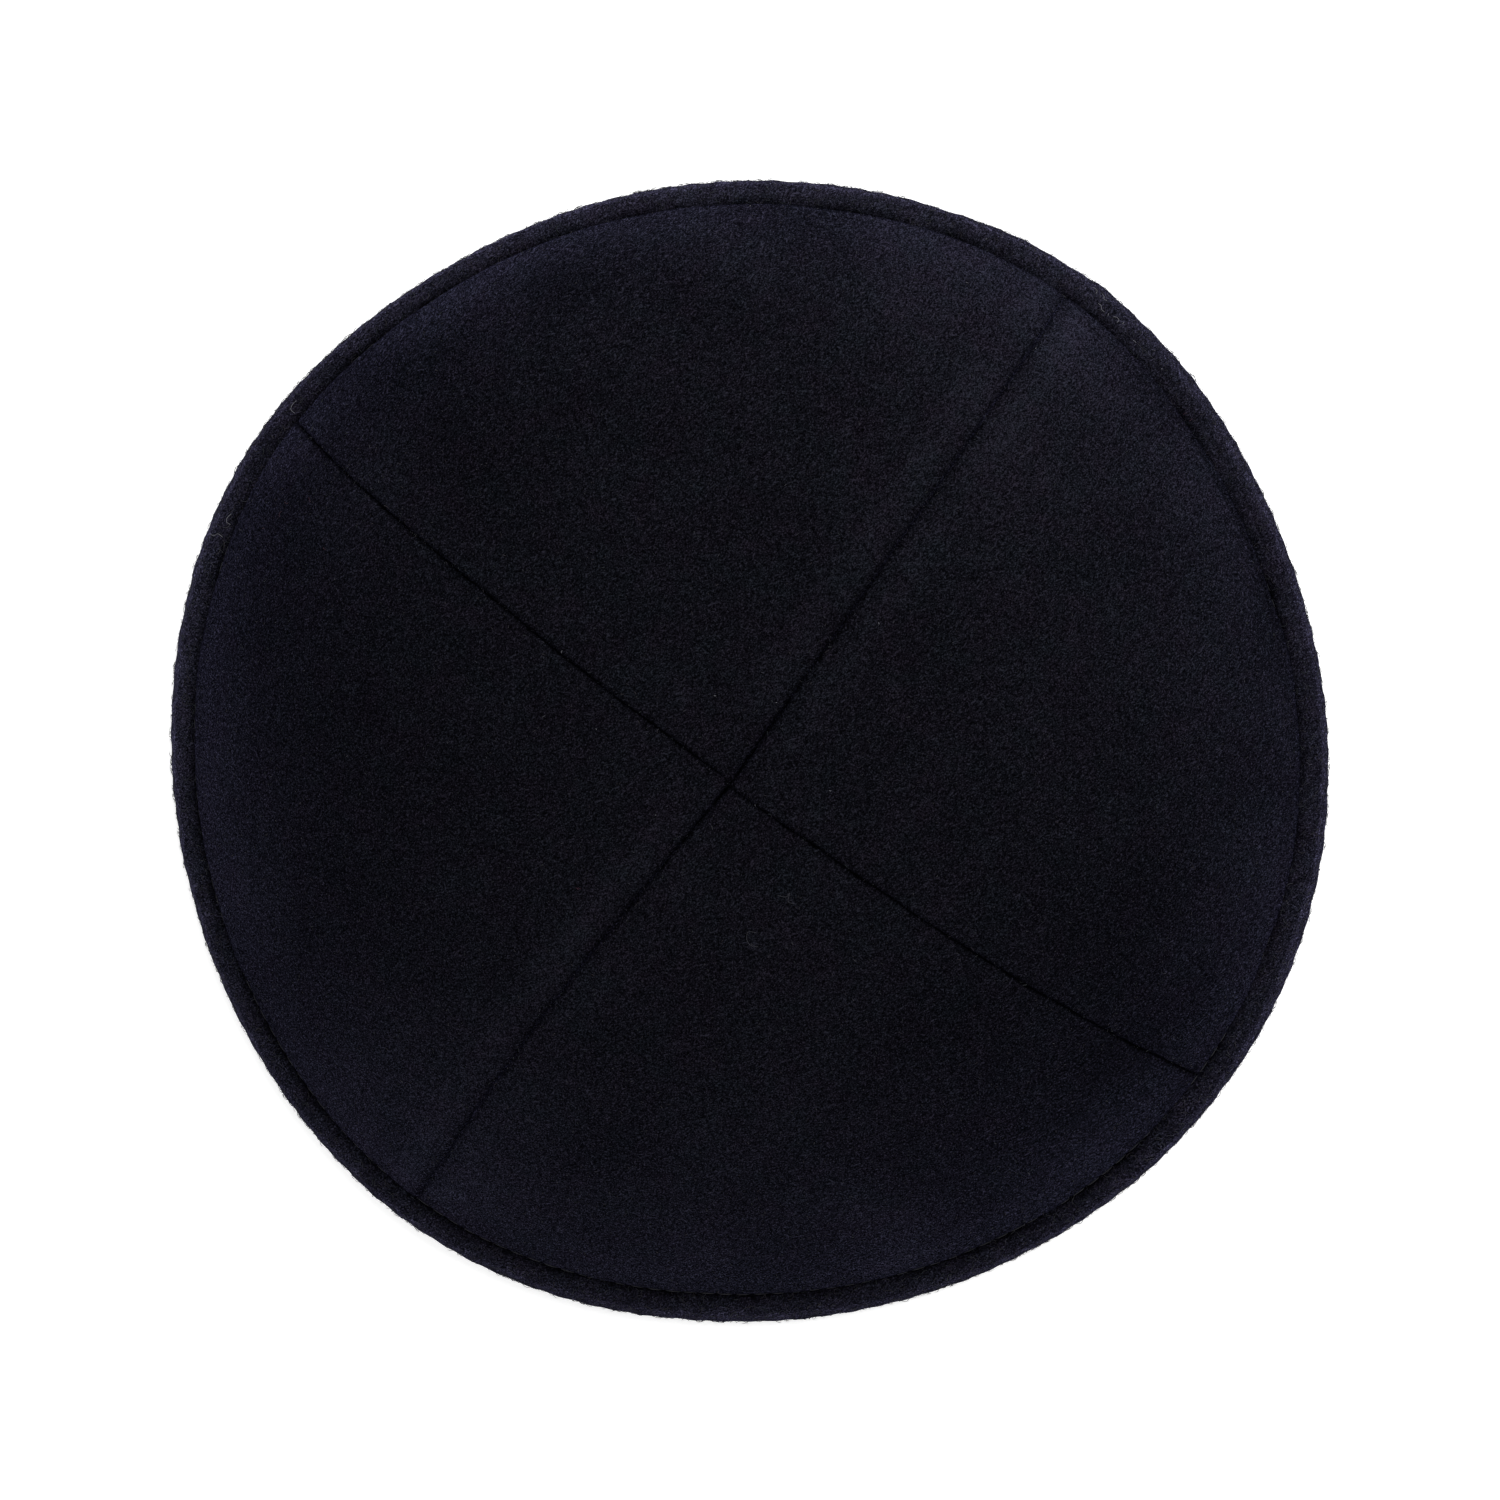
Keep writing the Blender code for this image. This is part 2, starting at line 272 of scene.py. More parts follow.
class GeometryBuilder(TreeBuilder):
    """A Geometry Nodes tree under construction, with named inputs."""

    def __init__(self, name: str, inputs: Mapping[str, str]) -> None:
        """Makes the tree, its named inputs and its one output.

        Args:
            name: The tree's name.
            inputs: The socket type of each named input.
        """
        super().__init__(bpy.data.node_groups.new(name, "GeometryNodeTree"))
        self.tree.interface.new_socket("Geometry", in_out="INPUT", socket_type="NodeSocketGeometry")
        for label, kind in inputs.items():
            self.tree.interface.new_socket(label, in_out="INPUT", socket_type=kind)
        self.tree.interface.new_socket("Geometry", in_out="OUTPUT", socket_type="NodeSocketGeometry")
        self.entry = self.node("NodeGroupInput")

    def given(self, label: str) -> Socket:
        """Returns the named input's socket."""
        return self.output(self.entry, label)

    def number(self, label: str) -> Value:
        """Returns the named input as a number for expressions."""
        return Value(self, self.given(label))

    def vector(self, x: Input, y: Input, z: Input) -> Socket:
        """Returns a vector made of three parts."""
        return self.output(self.node("ShaderNodeCombineXYZ", None, {"X": x, "Y": y, "Z": z}))

    def random(self, kind: str, least: Input, most: Input, seed: int) -> Socket:
        """Adds a random FLOAT or FLOAT_VECTOR for each element, from least to most."""
        inputs = {"Min": least, "Max": most, "Seed": seed}
        return self.output(self.node("FunctionNodeRandomValue", {"data_type": kind}, inputs), "Value")

    def bow(self, start: Point, middle: Point, end: Point, steps: int) -> Socket:
        """Adds a line of this many steps, bent towards its middle point."""
        inputs = {"Resolution": steps, "Start": start, "Middle": middle, "End": end}
        return self.output(self.node("GeometryNodeCurveQuadraticBezier", None, inputs))

    def thickened(self, line: Socket, radius: Input, sides: int) -> Socket:
        """Gives a line its thickness.

        Args:
            line: The curve.
            radius: Half its thickness.
            sides: The number of sides round it.

        Returns:
            The mesh's socket.
        """
        ring = self.node("GeometryNodeCurvePrimitiveCircle", None, {"Resolution": sides, "Radius": radius})
        inputs = {"Curve": line, "Profile Curve": self.output(ring), "Fill Caps": True}
        return self.output(self.node("GeometryNodeCurveToMesh", None, inputs))

    def finish(self, geometry: Socket) -> Tree:
        """Makes the instances real, gives them the Material input and links the output.

        Args:
            geometry: The instances.

        Returns:
            The finished tree.
        """
        real = self.output(self.node("GeometryNodeRealizeInstances", None, {"Geometry": geometry}))
        inputs = {"Geometry": real, "Material": self.given("Material")}
        dressed = self.node("GeometryNodeSetMaterial", None, inputs)
        self.node("NodeGroupOutput", None, {0: self.output(dressed)})
        return self.tree


# Meshes


def linked(name: str, data: bpy.types.ID) -> Object:
    """Makes an object that shows this data, in the scene."""
    made = bpy.data.objects.new(name, data)
    bpy.context.scene.collection.objects.link(made)
    return made


class Maker:
    """Makes plain mesh objects at the origin."""

    @staticmethod
    def piece(
        name: str,
        points: Array,
        faces: Sequence[Sequence[int]],
        closed: bool = True,
        openness: Optional[Array] = None,
    ) -> Object:
        """Makes a mesh object from points and faces, its faces outwards where it is closed.

        Args:
            name: The object's name.
            points: Its corners, one row each.
            faces: Corner numbers of each face.
            closed: Whether the mesh encloses a volume.
            openness: The painted light and shade at each corner, with some random tone, which scales the
                felt's cover.

        Returns:
            The linked object.
        """
        data = bpy.data.meshes.new(name)
        data.from_pydata(points.tolist(), [], faces)
        if closed:
            body = bmesh.new()
            body.from_mesh(data)
            bmesh.ops.recalc_face_normals(body, faces=body.faces)
            body.to_mesh(data)
            body.free()
        data.shade_smooth()
        if openness is not None:
            layer = data.attributes.new(LIGHT_AND_TONE, "FLOAT", "POINT")
            layer.data.foreach_set("value", openness.astype(np.float32).ravel())
        return linked(name, data)

    @staticmethod
    def lines(
        name: str, points: Sequence[Sequence[float]], edges: Sequence[Tuple[int, int]]
    ) -> Object:
        """Makes an object of straight lines, whose edges are pairs of corner numbers."""
        data = bpy.data.meshes.new(name)
        data.from_pydata(points, edges, [])
        return linked(name, data)

    @staticmethod
    def grid_faces(rows: int, columns: int, start: int = 0) -> List[Tuple[int, int, int, int]]:
        """Faces of an open grid whose points are numbered row by row.

        Args:
            rows: The number of rows of points.
            columns: The number of points in a row.
            start: The number of the first point.

        Returns:
            Four corner numbers for each face.
        """
        corner = start + np.arange((rows - 1) * columns).reshape(rows - 1, columns)[:, :-1].ravel()
        faces = np.stack([corner, corner + 1, corner + columns + 1, corner + columns], axis=-1)
        return [tuple(face) for face in faces.tolist()]

    @staticmethod
    def grown(base: Object, name: str, tree: Tree, inputs: Mapping[str, object]) -> Object:
        """Runs a Geometry Nodes tree on a base and keeps the result as a plain mesh.

        Args:
            base: The object that the tree reads, which is removed.
            name: The new object's name.
            tree: The tree.
            inputs: Values of its named inputs.

        Returns:
            The linked object.
        """
        modifier = base.modifiers.new(name, "NODES")
        modifier.node_group = tree
        for item in tree.interface.items_tree:
            if item.in_out == "INPUT" and item.name in inputs:
                modifier[item.identifier] = inputs[item.name]
        graph = bpy.context.evaluated_depsgraph_get()
        data = bpy.data.meshes.new_from_object(base.evaluated_get(graph))
        base.modifiers.remove(modifier)
        bpy.data.objects.remove(base)
        data.name = name
        data.shade_smooth()
        return linked(name, data)


def waver(points: Array, size: float, offset: Point = (0.0, 0.0, 0.0)) -> Array:
    """Smooth random height at each point.

    Args:
        points: The points, whose last axis is X, Y and Z.
        size: The length over which it varies.
        offset: Moves the pattern, for another one.

    Returns:
        Heights of about -1 to 1, one for each point.
    """
    places = (points / size + np.array(offset)).reshape(-1, 3)
    heights = [noise.noise(Vector(place)) for place in places.tolist()]
    return np.array(heights).reshape(points.shape[:-1])


def bell(distance: Array, width: Union[float, Array], power: int = 2) -> Array:
    """Returns 1 at distance 0, which fades away at about this width, more squarely at a higher power."""
    return np.exp(-((distance / width) ** power))


def clipped(rise: Array) -> Array:
    """Returns the numbers held between 0 and 1."""
    return np.clip(rise, 0.0, 1.0)


def degrees_from(azimuth: Array, middle: float) -> Array:
    """Returns how many degrees each azimuth lies from a middle given in degrees, from -180 to 180."""
    return (np.degrees(azimuth) - middle + 180.0) % 360.0 - 180.0


# The form that every piece follows


@dataclass(frozen=True)
class RimWave:
    """One of the waves that keep the rim from being a circle."""

    order: int
    height: float
    crest_deg: float


@dataclass(frozen=True)
class CrownForm:
    """The panels' outer surface, from the crown down to their cut edge."""

    rim_radius: float = 0.08535
    height: float = 0.052
    fullness: float = 2.3
    reach: float = 0.867
    reach_swing: float = 0.115
    steepest_deg: float = 99.0
    felt: float = 0.0018
    fold_radius: float = 0.0026
    flattening: float = 0.0005
    steps: int = 96
    waves: Tuple[RimWave, ...] = (
        RimWave(order=2, height=0.0063, crest_deg=0),
        RimWave(order=4, height=0.0087, crest_deg=51),
        RimWave(order=5, height=0.0008, crest_deg=70),
        RimWave(order=6, height=0.0016, crest_deg=37),
        RimWave(order=7, height=0.0012, crest_deg=37),
        RimWave(order=8, height=0.0010, crest_deg=1),
    )

    def _lowest(self, reach: Array) -> Array:
        """Depth of the form at its cut edge for this reach."""
        return 1 - (1 - reach**self.fullness) ** (1 / self.fullness)

    def reach_at(self, azimuth: Array) -> Array:
        """How far out the wall follows the crown's form in each direction."""
        return self.reach + self.reach_swing * np.cos(azimuth - math.radians(self.steepest_deg))

    def rim_share(self, azimuth: Array) -> Array:
        """The rim's radius in each direction as a share of rim_radius."""
        swell = [w.height * np.cos(w.order * (azimuth - math.radians(w.crest_deg))) for w in self.waves]
        return 1 + sum(swell)

    def drop(self, share: Array, azimuth: Array) -> Array:
        """How far the wall has come down at each share of the radius, from 0 to 1."""
        reach = self.reach_at(azimuth)
        inner = (1 - (reach * share) ** self.fullness) ** (1 / self.fullness)
        return (1 - inner) / self._lowest(reach)

    def slope(self, share: Array, azimuth: Array, reach: Optional[float] = None) -> Array:
        """The rate at which the drop grows with the share."""
        reach = self.reach_at(azimuth) if reach is None else reach
        steepness = (1 - (reach * share) ** self.fullness) ** (1 / self.fullness - 1)
        return reach**self.fullness * share ** (self.fullness - 1) * steepness / self._lowest(reach)

    @property
    def rise(self) -> float:
        """Height of the crown above the cut edge."""
        edge = 0.0
        for _ in range(8):
            slope = self.slope(1.0, 0.0, self.reach) * (self.height - edge)
            upward = self.rim_radius / math.hypot(self.rim_radius, slope)
            edge = self.fold_radius - self.flattening + upward * self.felt / 2
        return self.height - edge

    def normal(self, share: Array, azimuth: Array) -> Tuple[Array, Array]:
        """Outward and upward parts of the outer surface's normal.

        Args:
            share: Shares of the radius, from 0 at the crown to 1.
            azimuth: The directions.

        Returns:
            The two parts.
        """
        outward = self.rise * self.slope(share, azimuth)
        upward = self.rim_radius * self.rim_share(azimuth)
        length = np.hypot(outward, upward)
        return outward / length, upward / length

    def section(self, share: Array, azimuth: Array, proud: Array) -> Tuple[Array, Array]:
        """Radius and height of points proud of the outer surface.

        Args:
            share: Shares of the radius.
            azimuth: The directions.
            proud: How far the points stand out from the surface.

        Returns:
            The radii and the heights.
        """
        outward, upward = self.normal(share, azimuth)
        radius = self.rim_radius * share * self.rim_share(azimuth) + outward * proud
        height = self.height - self.rise * self.drop(share, azimuth) + upward * proud
        return radius, height

    def lengths(self, azimuth: Array) -> Tuple[Array, Array]:
        """Lengths of the wall from the crown to a row of shares, in each direction.

        Args:
            azimuth: The directions, one for each row of the result.

        Returns:
            The shares, and the lengths with one row for each direction.
        """
        shares = np.sin(np.linspace(0, math.pi / 2, self.steps + 1))
        turned = azimuth[:, None]
        radii = self.rim_radius * shares * self.rim_share(turned)
        heights = self.rise * self.drop(shares, turned)
        steps = np.hypot(np.diff(radii, axis=1), np.diff(heights, axis=1))
        return shares, np.concatenate([np.zeros_like(turned), np.cumsum(steps, axis=1)], axis=1)

    def share_above(self, distance: Array, azimuth: Array) -> Array:
        """The shares at these distances up the wall from the cut edge.

        Args:
            distance: The distances.
            azimuth: The directions, in the same shape.

        Returns:
            The shares, in the same shape.
        """
        distance, azimuth = np.broadcast_arrays(np.asarray(distance, float), np.asarray(azimuth, float))
        shares, lengths = self.lengths(azimuth.ravel())
        target = lengths[:, -1] - distance.ravel()
        place = np.clip((lengths < target[:, None]).sum(axis=1) - 1, 0, self.steps - 1)
        row = np.arange(len(target))
        low, high = lengths[row, place], lengths[row, place + 1]
        along = (target - low) / (high - low)
        return (shares[place] + along * (shares[place + 1] - shares[place])).reshape(distance.shape)

    def wall_length(self, azimuth: Array) -> Array:
        """Length of the wall from the crown to the cut edge in each direction."""
        flat = np.asarray(azimuth, float).ravel()
        return self.lengths(flat)[1][:, -1].reshape(np.shape(azimuth))


def turned(azimuth: Array, radius: Array, height: Array) -> Array:
    """Points at these radii and heights in these directions."""
    return np.stack([radius * np.cos(azimuth), radius * np.sin(azimuth), height], axis=-1)


# Finishes


@dataclass(frozen=True)
class FeltFinish:
    """Napped wool felt: short tangled fibres of two hues over dark gaps."""

    name: str
    teal: Colour = (0.0112, 0.0132, 0.0182)
    violet: Colour = (0.0142, 0.0118, 0.0188)
    strand_length: float = 0.00085
    strand_width: float = 0.00024
    strand_level: float = 0.66
    curl_size: float = 0.0014
    curl: float = 0.0006
    directions: int = 6
    hang: float = 2.0
    patch_size: float = 0.0075
    patch_ramp: Tuple[float, float] = (0.34, 0.66)
    fleck_size: float = 0.0024
    fleck_ramp: Tuple[float, float] = (0.30, 0.70)
    grain_size: float = 0.00019
    cloud_size: float = 0.0130
    contrast: float = 7.6
    grain: float = 3.2
    clouding: float = 0.4
    cover: float = 0.20
    bump: float = 0.00010
    bump_strength: float = 0.6
    gap_colour: Colour = (0.0002, 0.0002, 0.0003)
    seed: Point = (0.0, 0.0, 0.0)
    sheen: float = 0.215
    sheen_roughness: float = 0.42
    sheen_tint: Colour = (0.49, 0.48, 1.0)

    def _strands(self, nodes: ShaderBuilder, hung: Socket) -> Value:
        """Lays short streaks in several directions over each other.

        Args:
            nodes: The material's nodes.
            hung: Coordinates in which the nap hangs down the steep sides.

        Returns:
            The height of the topmost streak, around strand_level.
        """
        curled = nodes.warped(hung, self.curl_size, self.curl)
        size = (self.strand_length, self.strand_width, self.strand_width)
        top: Optional[Value] = None
        # The other two turns are uneven, so that no two layers line up.
        for k in range(self.directions):
            degrees = (17.0 * k, 23.0 * k, 180.0 * k / self.directions + 7.0)
            offset = tuple(0.01 * k + part for part in self.seed)
            streak = nodes.noise(nodes.stretched(curled, degrees, size, offset), 1.0)
            top = streak if top is None else top.math("MAXIMUM", streak)
        return top

    def material(self) -> Material:
        """Returns the felt's material."""
        nodes = ShaderBuilder(self.name)
        hung = nodes.stretched(nodes.place, (0.0, 0.0, 0.0), (1.0, 1.0, self.hang), self.seed)
        strands = self._strands(nodes, hung)
        patches = nodes.noise(hung, self.patch_size, 2.0).ramped(*self.patch_ramp)
        flecks = nodes.noise(hung, self.fleck_size, 1.0).ramped(*self.fleck_ramp)
        grain = nodes.noise(hung, self.grain_size) - 0.5
        clouds = nodes.noise(hung, self.cloud_size, 2.0) - 0.5
        hue = nodes.mixed(patches * 0.5 + flecks * 0.5, self.teal, self.violet)
        # The attribute paints shade into creases and grooves and paints sides lighter or darker, besides
        # some random tone.
        light_and_tone_attribute = nodes.value(nodes.node("ShaderNodeAttribute", {"attribute_name": LIGHT_AND_TONE}), "Fac")
        depth = (strands - self.strand_level) * self.contrast + grain * self.grain + clouds * self.clouding
        cover = (depth.exponent() * light_and_tone_attribute * self.cover).clamped()
        raised = {"Strength": self.bump_strength, "Distance": self.bump, "Height": strands * 2.0}
        gap = nodes.surface(
            {"Base Color": (*self.gap_colour, 1.0), "Roughness": 1.0, "Specular IOR Level": 0.0}
        )
        fibre = nodes.surface(
            {
                "Base Color": hue,
                "Roughness": 1.0,
                "Specular IOR Level": 0.02,
                "Sheen Weight": self.sheen,
                "Sheen Roughness": self.sheen_roughness,
                "Sheen Tint": (*self.sheen_tint, 1.0),
                "Normal": nodes.output(nodes.node("ShaderNodeBump", None, raised)),
            }
        )
        layers = {0: cover, 1: nodes.output(gap), 2: nodes.output(fibre)}
        return nodes.finish(nodes.node("ShaderNodeMixShader", None, layers))


@dataclass(frozen=True)
class StrandFinish:
    """Dyed wool or thread in one plain shade, too fine for a pattern."""

    name: str
    colour: Colour
    sheen: float = 0.05
    roughness: float = 0.9

    def material(self) -> Material:
        """Returns the strand's material."""
        nodes = ShaderBuilder(self.name)
        shader = nodes.surface(
            {
                "Base Color": (*self.colour, 1.0),
                "Roughness": self.roughness,
                "Specular IOR Level": 0.15,
                "Sheen Weight": self.sheen,
            }
        )
        return nodes.finish(shader)


# Panels


@dataclass(frozen=True)
class SeamShape:
    """How the cloth lies beside a seam.

    A valley runs along the seam between its two rounded edges. Along the crease a painted shade
    darkens the felt, and towards the crown its strength and half width ease into those that it has there.
    """

    rounding: float
    valley_depth: float
    crease_shade: float
    crease_half: float
    crown_shade: float
    crown_reach: float
    crown_half: float = 0.00036
    valley_half: float = 0.0009

    def sunk(self, distance: Array, rounding: Array) -> Array:
        """How far the surface lies below the crown's form beside the seam.

        Args:
            distance: Distances from the seam's line.
            rounding: The turned edge's radius at each point.

        Returns:
            The depths.
        """
        beside = np.clip(rounding - distance, 0.0, None)
        roll = rounding - np.sqrt(np.clip(rounding**2 - beside**2, 0.0, None))
        return roll + self.valley_depth * bell(distance, self.valley_half)

    def painted_crease_shade(self, distance: Array, reach: Array) -> Array:
        """How strong the painted shade is beside the seam, from 0 on open cloth to 1.

        Args:
            distance: Distances from the seam's line.
            reach: Distances from the crown.

        Returns:
            The shares.
        """
        crown = bell(reach, self.crown_reach)
        shade = self.crease_shade + (self.crown_shade - self.crease_shade) * crown
        half = self.crease_half + (self.crown_half - self.crease_half) * crown
        return shade * bell(distance, half)


class SeamKind(Enum):
    """The two ways a seam lies, crisp and soft, each with its own painted crease shade."""

    CRISP = SeamShape(0.00070, 0.00008, 0.80, 0.00034, crown_shade=0.40, crown_reach=0.0045)
    SOFT = SeamShape(0.00055, 0.00030, 0.54, 0.00058, crown_shade=0.93, crown_reach=0.024)


@dataclass(frozen=True)
class Seam:
    """One seam from the crown to the rim.

    The two numbers in pressed say how strong its painted highlight band is on the panel before it and
    on the one beyond it, by azimuth. Its wobble grows in over the first 1 / wobble_rise of the way out.
    """

    name: str
    azimuth_deg: float
    bow: float
    kind: SeamKind
    ridge_highlight: Tuple[float, float] = (0.0, 0.0)
    wobble: float = 0.00016
    wobble_length: float = 0.006
    wobble_rise: float = 12.0

    @property
    def shape(self) -> SeamShape:
        """How its cloth lies."""
        return self.kind.value

    @property
    def straight(self) -> float:
        """The seam's direction where it meets the rim."""
        return math.radians(self.azimuth_deg)

    def track(self, reach: Array) -> Array:
        """Points of the seam's own random patterns at these distances from the crown."""
        return np.stack([reach, np.full_like(reach, self.azimuth_deg), np.zeros_like(reach)], -1)

    def azimuth_at(self, share: Array, rim_radius: float) -> Array:
        """The seam's direction at each share of the radius.

        Args:
            share: The shares, above 0.
            rim_radius: The rim's radius.

        Returns:
            The directions.
        """
        hand = waver(self.track(share * rim_radius), self.wobble_length) * self.wobble
        hand = hand * clipped(share * self.wobble_rise)
        return self.straight + self.bow * np.sin(math.pi * share) / share + hand / (rim_radius * share)


SEAMS: Dict[str, Seam] = {
    seam.name: seam
    for seam in (
        Seam("back_right", 46.2, -0.002, SeamKind.SOFT, (0.46, 0.46)),
        Seam("back_left", 133.7, 0.000, SeamKind.CRISP, (0.03, 0.06)),
        Seam("front_left", 224.3, -0.018, SeamKind.SOFT, (0.52, 0.18)),
        Seam("front_right", 316.2, -0.008, SeamKind.CRISP, (0.08, 0.05)),
    )
}


@dataclass(frozen=True)
class LightAndToneSpot:
    """A soft patch painted lighter or darker, placed from above in millimetres, which stands in for broad
    light and shade over the cap and for its uneven tone.
    """

    x: float
    y: float
    radius: float
    rise: float

    def lift(self, points: Array) -> Array:
        """Returns how much lighter each point is for this spot."""
        away = np.hypot(points[..., 0] / MILLIMETRE - self.x, points[..., 1] / MILLIMETRE - self.y)
        return self.rise * bell(away, self.radius)


# These patches paint light and shade over broad parts of the cap, together with its uneven tone.
LIGHT_AND_TONE_SPOTS: Tuple[LightAndToneSpot, ...] = tuple(
    LightAndToneSpot(*spot)
    for spot in (
        (-45, 15, 17, -0.10), (-63, 14, 12, -0.10), (-34, 52, 13, -0.12), (50, -26, 14, -0.16),
        (26, -40, 14, -0.15), (-5, -54, 15, 0.12), (62, 38, 14, 0.20), (42, 66, 11, 0.26),
        (56, 56, 12, 0.24), (74, 12, 12, -0.12), (-67, -11, 14, -0.12), (-76, 4, 13, -0.07),
        (-70, 26, 14, -0.08), (28, 72, 11, 0.14), (54, 37, 14, 0.10), (-63, 50, 10, -0.14),
        (-8, 80, 14, -0.10), (-53, -43, 16, 0.28), (55, -46, 16, -0.24), (34, 36, 13, 0.12),
        (48, 22, 16, 0.08), (-20, -52, 14, 0.08), (-40, 60, 12, -0.08), (6, -23, 10, 0.08),
        (-27, -24, 10, 0.10), (-48, 50, 8, 0.10), (-69, 50, 9, -0.26), (-77, 33, 9, -0.14),
        (-51, 69, 10, -0.34),
    )
)


@dataclass(frozen=True)
class CrownSlip:
    """How the two halves were sewn a little out of line along the continuous seam."""

    along_deg: float = 45.2
    amount: float = 0.00035
    spread: float = 0.012
    valley_depth: float = 0.00055
    valley_half_width: float = 0.00055

    def moved(self, points: Array, side: float) -> Array:
        """Moves a half along the seam near the crown, and sinks the seam's valley there.

        Args:
            points: The points, whose last axis is X, Y and Z.
            side: 1 for the half to the left of the seam's direction, -1 for the other.

        Returns:
            The moved points.
        """
        lean = math.radians(self.along_deg)
        near = bell(np.hypot(points[..., 0], points[..., 1]), self.spread)
        across = points[..., 1] * math.cos(lean) - points[..., 0] * math.sin(lean)
        valley = bell(across, self.valley_half_width)
        made = points.copy()
        made[..., 0] += side * self.amount * near * (1 - valley) * math.cos(lean)
        made[..., 1] += side * self.amount * near * (1 - valley) * math.sin(lean)
        made[..., 2] -= self.valley_depth * valley * near
        return made


@dataclass(frozen=True)
class RidgeHighlightBand:
    """A painted highlight band beside a seam, over its turned edge, where a raised ridge would catch the
    light.

    It begins at start_share of start_reach from the crown and is full one start_reach further out.
    """

    away: float = 0.0037
    half_width: float = 0.0022
    start_reach: float = 0.010
    start_share: float = 0.6
    level: float = 0.7
    patchiness: float = 0.5
    patch_size: float = 0.011

    def lift(self, strength: float, away: Array, reach: Array, track: Array) -> Array:
        """How much the painted highlight lightens the felt.

        Args:
            strength: How strong the band is.
            away: Distances from the seam.
            reach: Distances from the crown.
            track: Points of the pattern that makes it uneven.

        Returns:
            The amounts, from 0.
        """
        start = clipped(reach / self.start_reach - self.start_share)
        band = bell(away - self.away, self.half_width) * start
        return strength * band * (self.level + self.patchiness * waver(track, self.patch_size))


@dataclass(frozen=True)
class Pleat:
    """A fine pleat along the rim, for a part of the way round: it sinks by depth, and painted shade darkens
    it along its line.
    """

    middle_deg: float
    spread_deg: float
    up: float
    half_width: float
    depth: float = 0.0
    shade: float = 0.42

    def nearness(self, azimuth: Array, up: Array, drift: Union[float, Array] = 0.0) -> Array:
        """How near each point is to the pleat's line.

        Args:
            azimuth: The points' directions.
            up: Their distances from the edge, along the cloth.
            drift: How far the line strays upwards at each point.

        Returns:
            The shares, from 0 far away to 1 on the line.
        """
        round_rim = bell(degrees_from(azimuth, self.middle_deg), self.spread_deg, 4)
        return round_rim * bell(up - self.up - drift, self.half_width)


@dataclass(frozen=True)
class Groove:
    """The groove along the binding, into which a panel dips, the swell beside it, and the shade painted in
    the groove, darker at the front.
    """

    dip: float = 0.00024
    dip_half: float = 0.0007
    deepest_deg: float = 250.0
    deepening: float = 0.35
    swell: float = 0.00008
    swell_above: float = 0.0022
    swell_half: float = 0.0011
    shade: float = 0.66
    front_shade: float = 0.14
    front_start: float = -0.2
    front_rise: float = 1.2
    shade_reach: float = 0.0013

    def dipped(self, above: Array, azimuth: Array, grip: Array) -> Array:
        """How far the panel dips at these distances above the binding's edge."""
        deeper = 1 + self.deepening * np.cos(azimuth - math.radians(self.deepest_deg))
        return self.dip * deeper * grip * bell(above, self.dip_half)

    def swollen(self, above: Array) -> Array:
        """How far the panel swells out at these distances from the binding's edge."""
        return self.swell * bell(above - self.swell_above, self.swell_half)

    def openness(self, above: Array, azimuth: Array, grip: Array) -> Array:
        """The factor that paints shade into the groove, darker at the front.

        Args:
            above: Distances up the wall from the binding's edge.
            azimuth: The directions.
            grip: How hard the stitches pull in each direction.

        Returns:
            The shares.
        """
        # Painted shade in the groove, deeper on the front of the cap, away from the key light.
        front = clipped(self.front_start - self.front_rise * np.sin(azimuth))
        shade = self.shade + self.front_shade * front
        return 1 - shade * grip * bell(np.clip(above, 0.0, None), self.shade_reach)


@dataclass(frozen=True)
class PaintedWallLight:
    """Painted light and shade on the steep part of the wall: lighter towards lightest_deg, on the key
    light's side, darker on the far side and a little darker overall, with patches of random tone.
    """

    lightest_deg: float = 56.0
    amount: float = 0.10
    two_sided: float = 0.6
    patchiness: float = 0.34
    patch_size: float = 0.017
    fall: float = 0.07
    start_share: float = 0.55
    rise_share: float = 0.35

    def openness(self, share: Array, azimuth: Array, points: Array) -> Array:
        """The factor of painted light and shade, around 1.

        Args:
            share: Shares of the radius.
            azimuth: The directions.
            points: The points themselves.

        Returns:
            The factors.
        """
        # Painted light towards the key light's side of the wall, painted shade on the far side.
        along = azimuth - math.radians(self.lightest_deg)
        uneven = waver(points, self.patch_size, (3.0, 1.0, 6.0))
        wall_light = self.amount * (np.cos(along) + self.two_sided * np.cos(2 * along))
        wall_light = wall_light + self.patchiness * uneven - self.fall
        return 1 + wall_light * clipped((share - self.start_share) / self.rise_share)


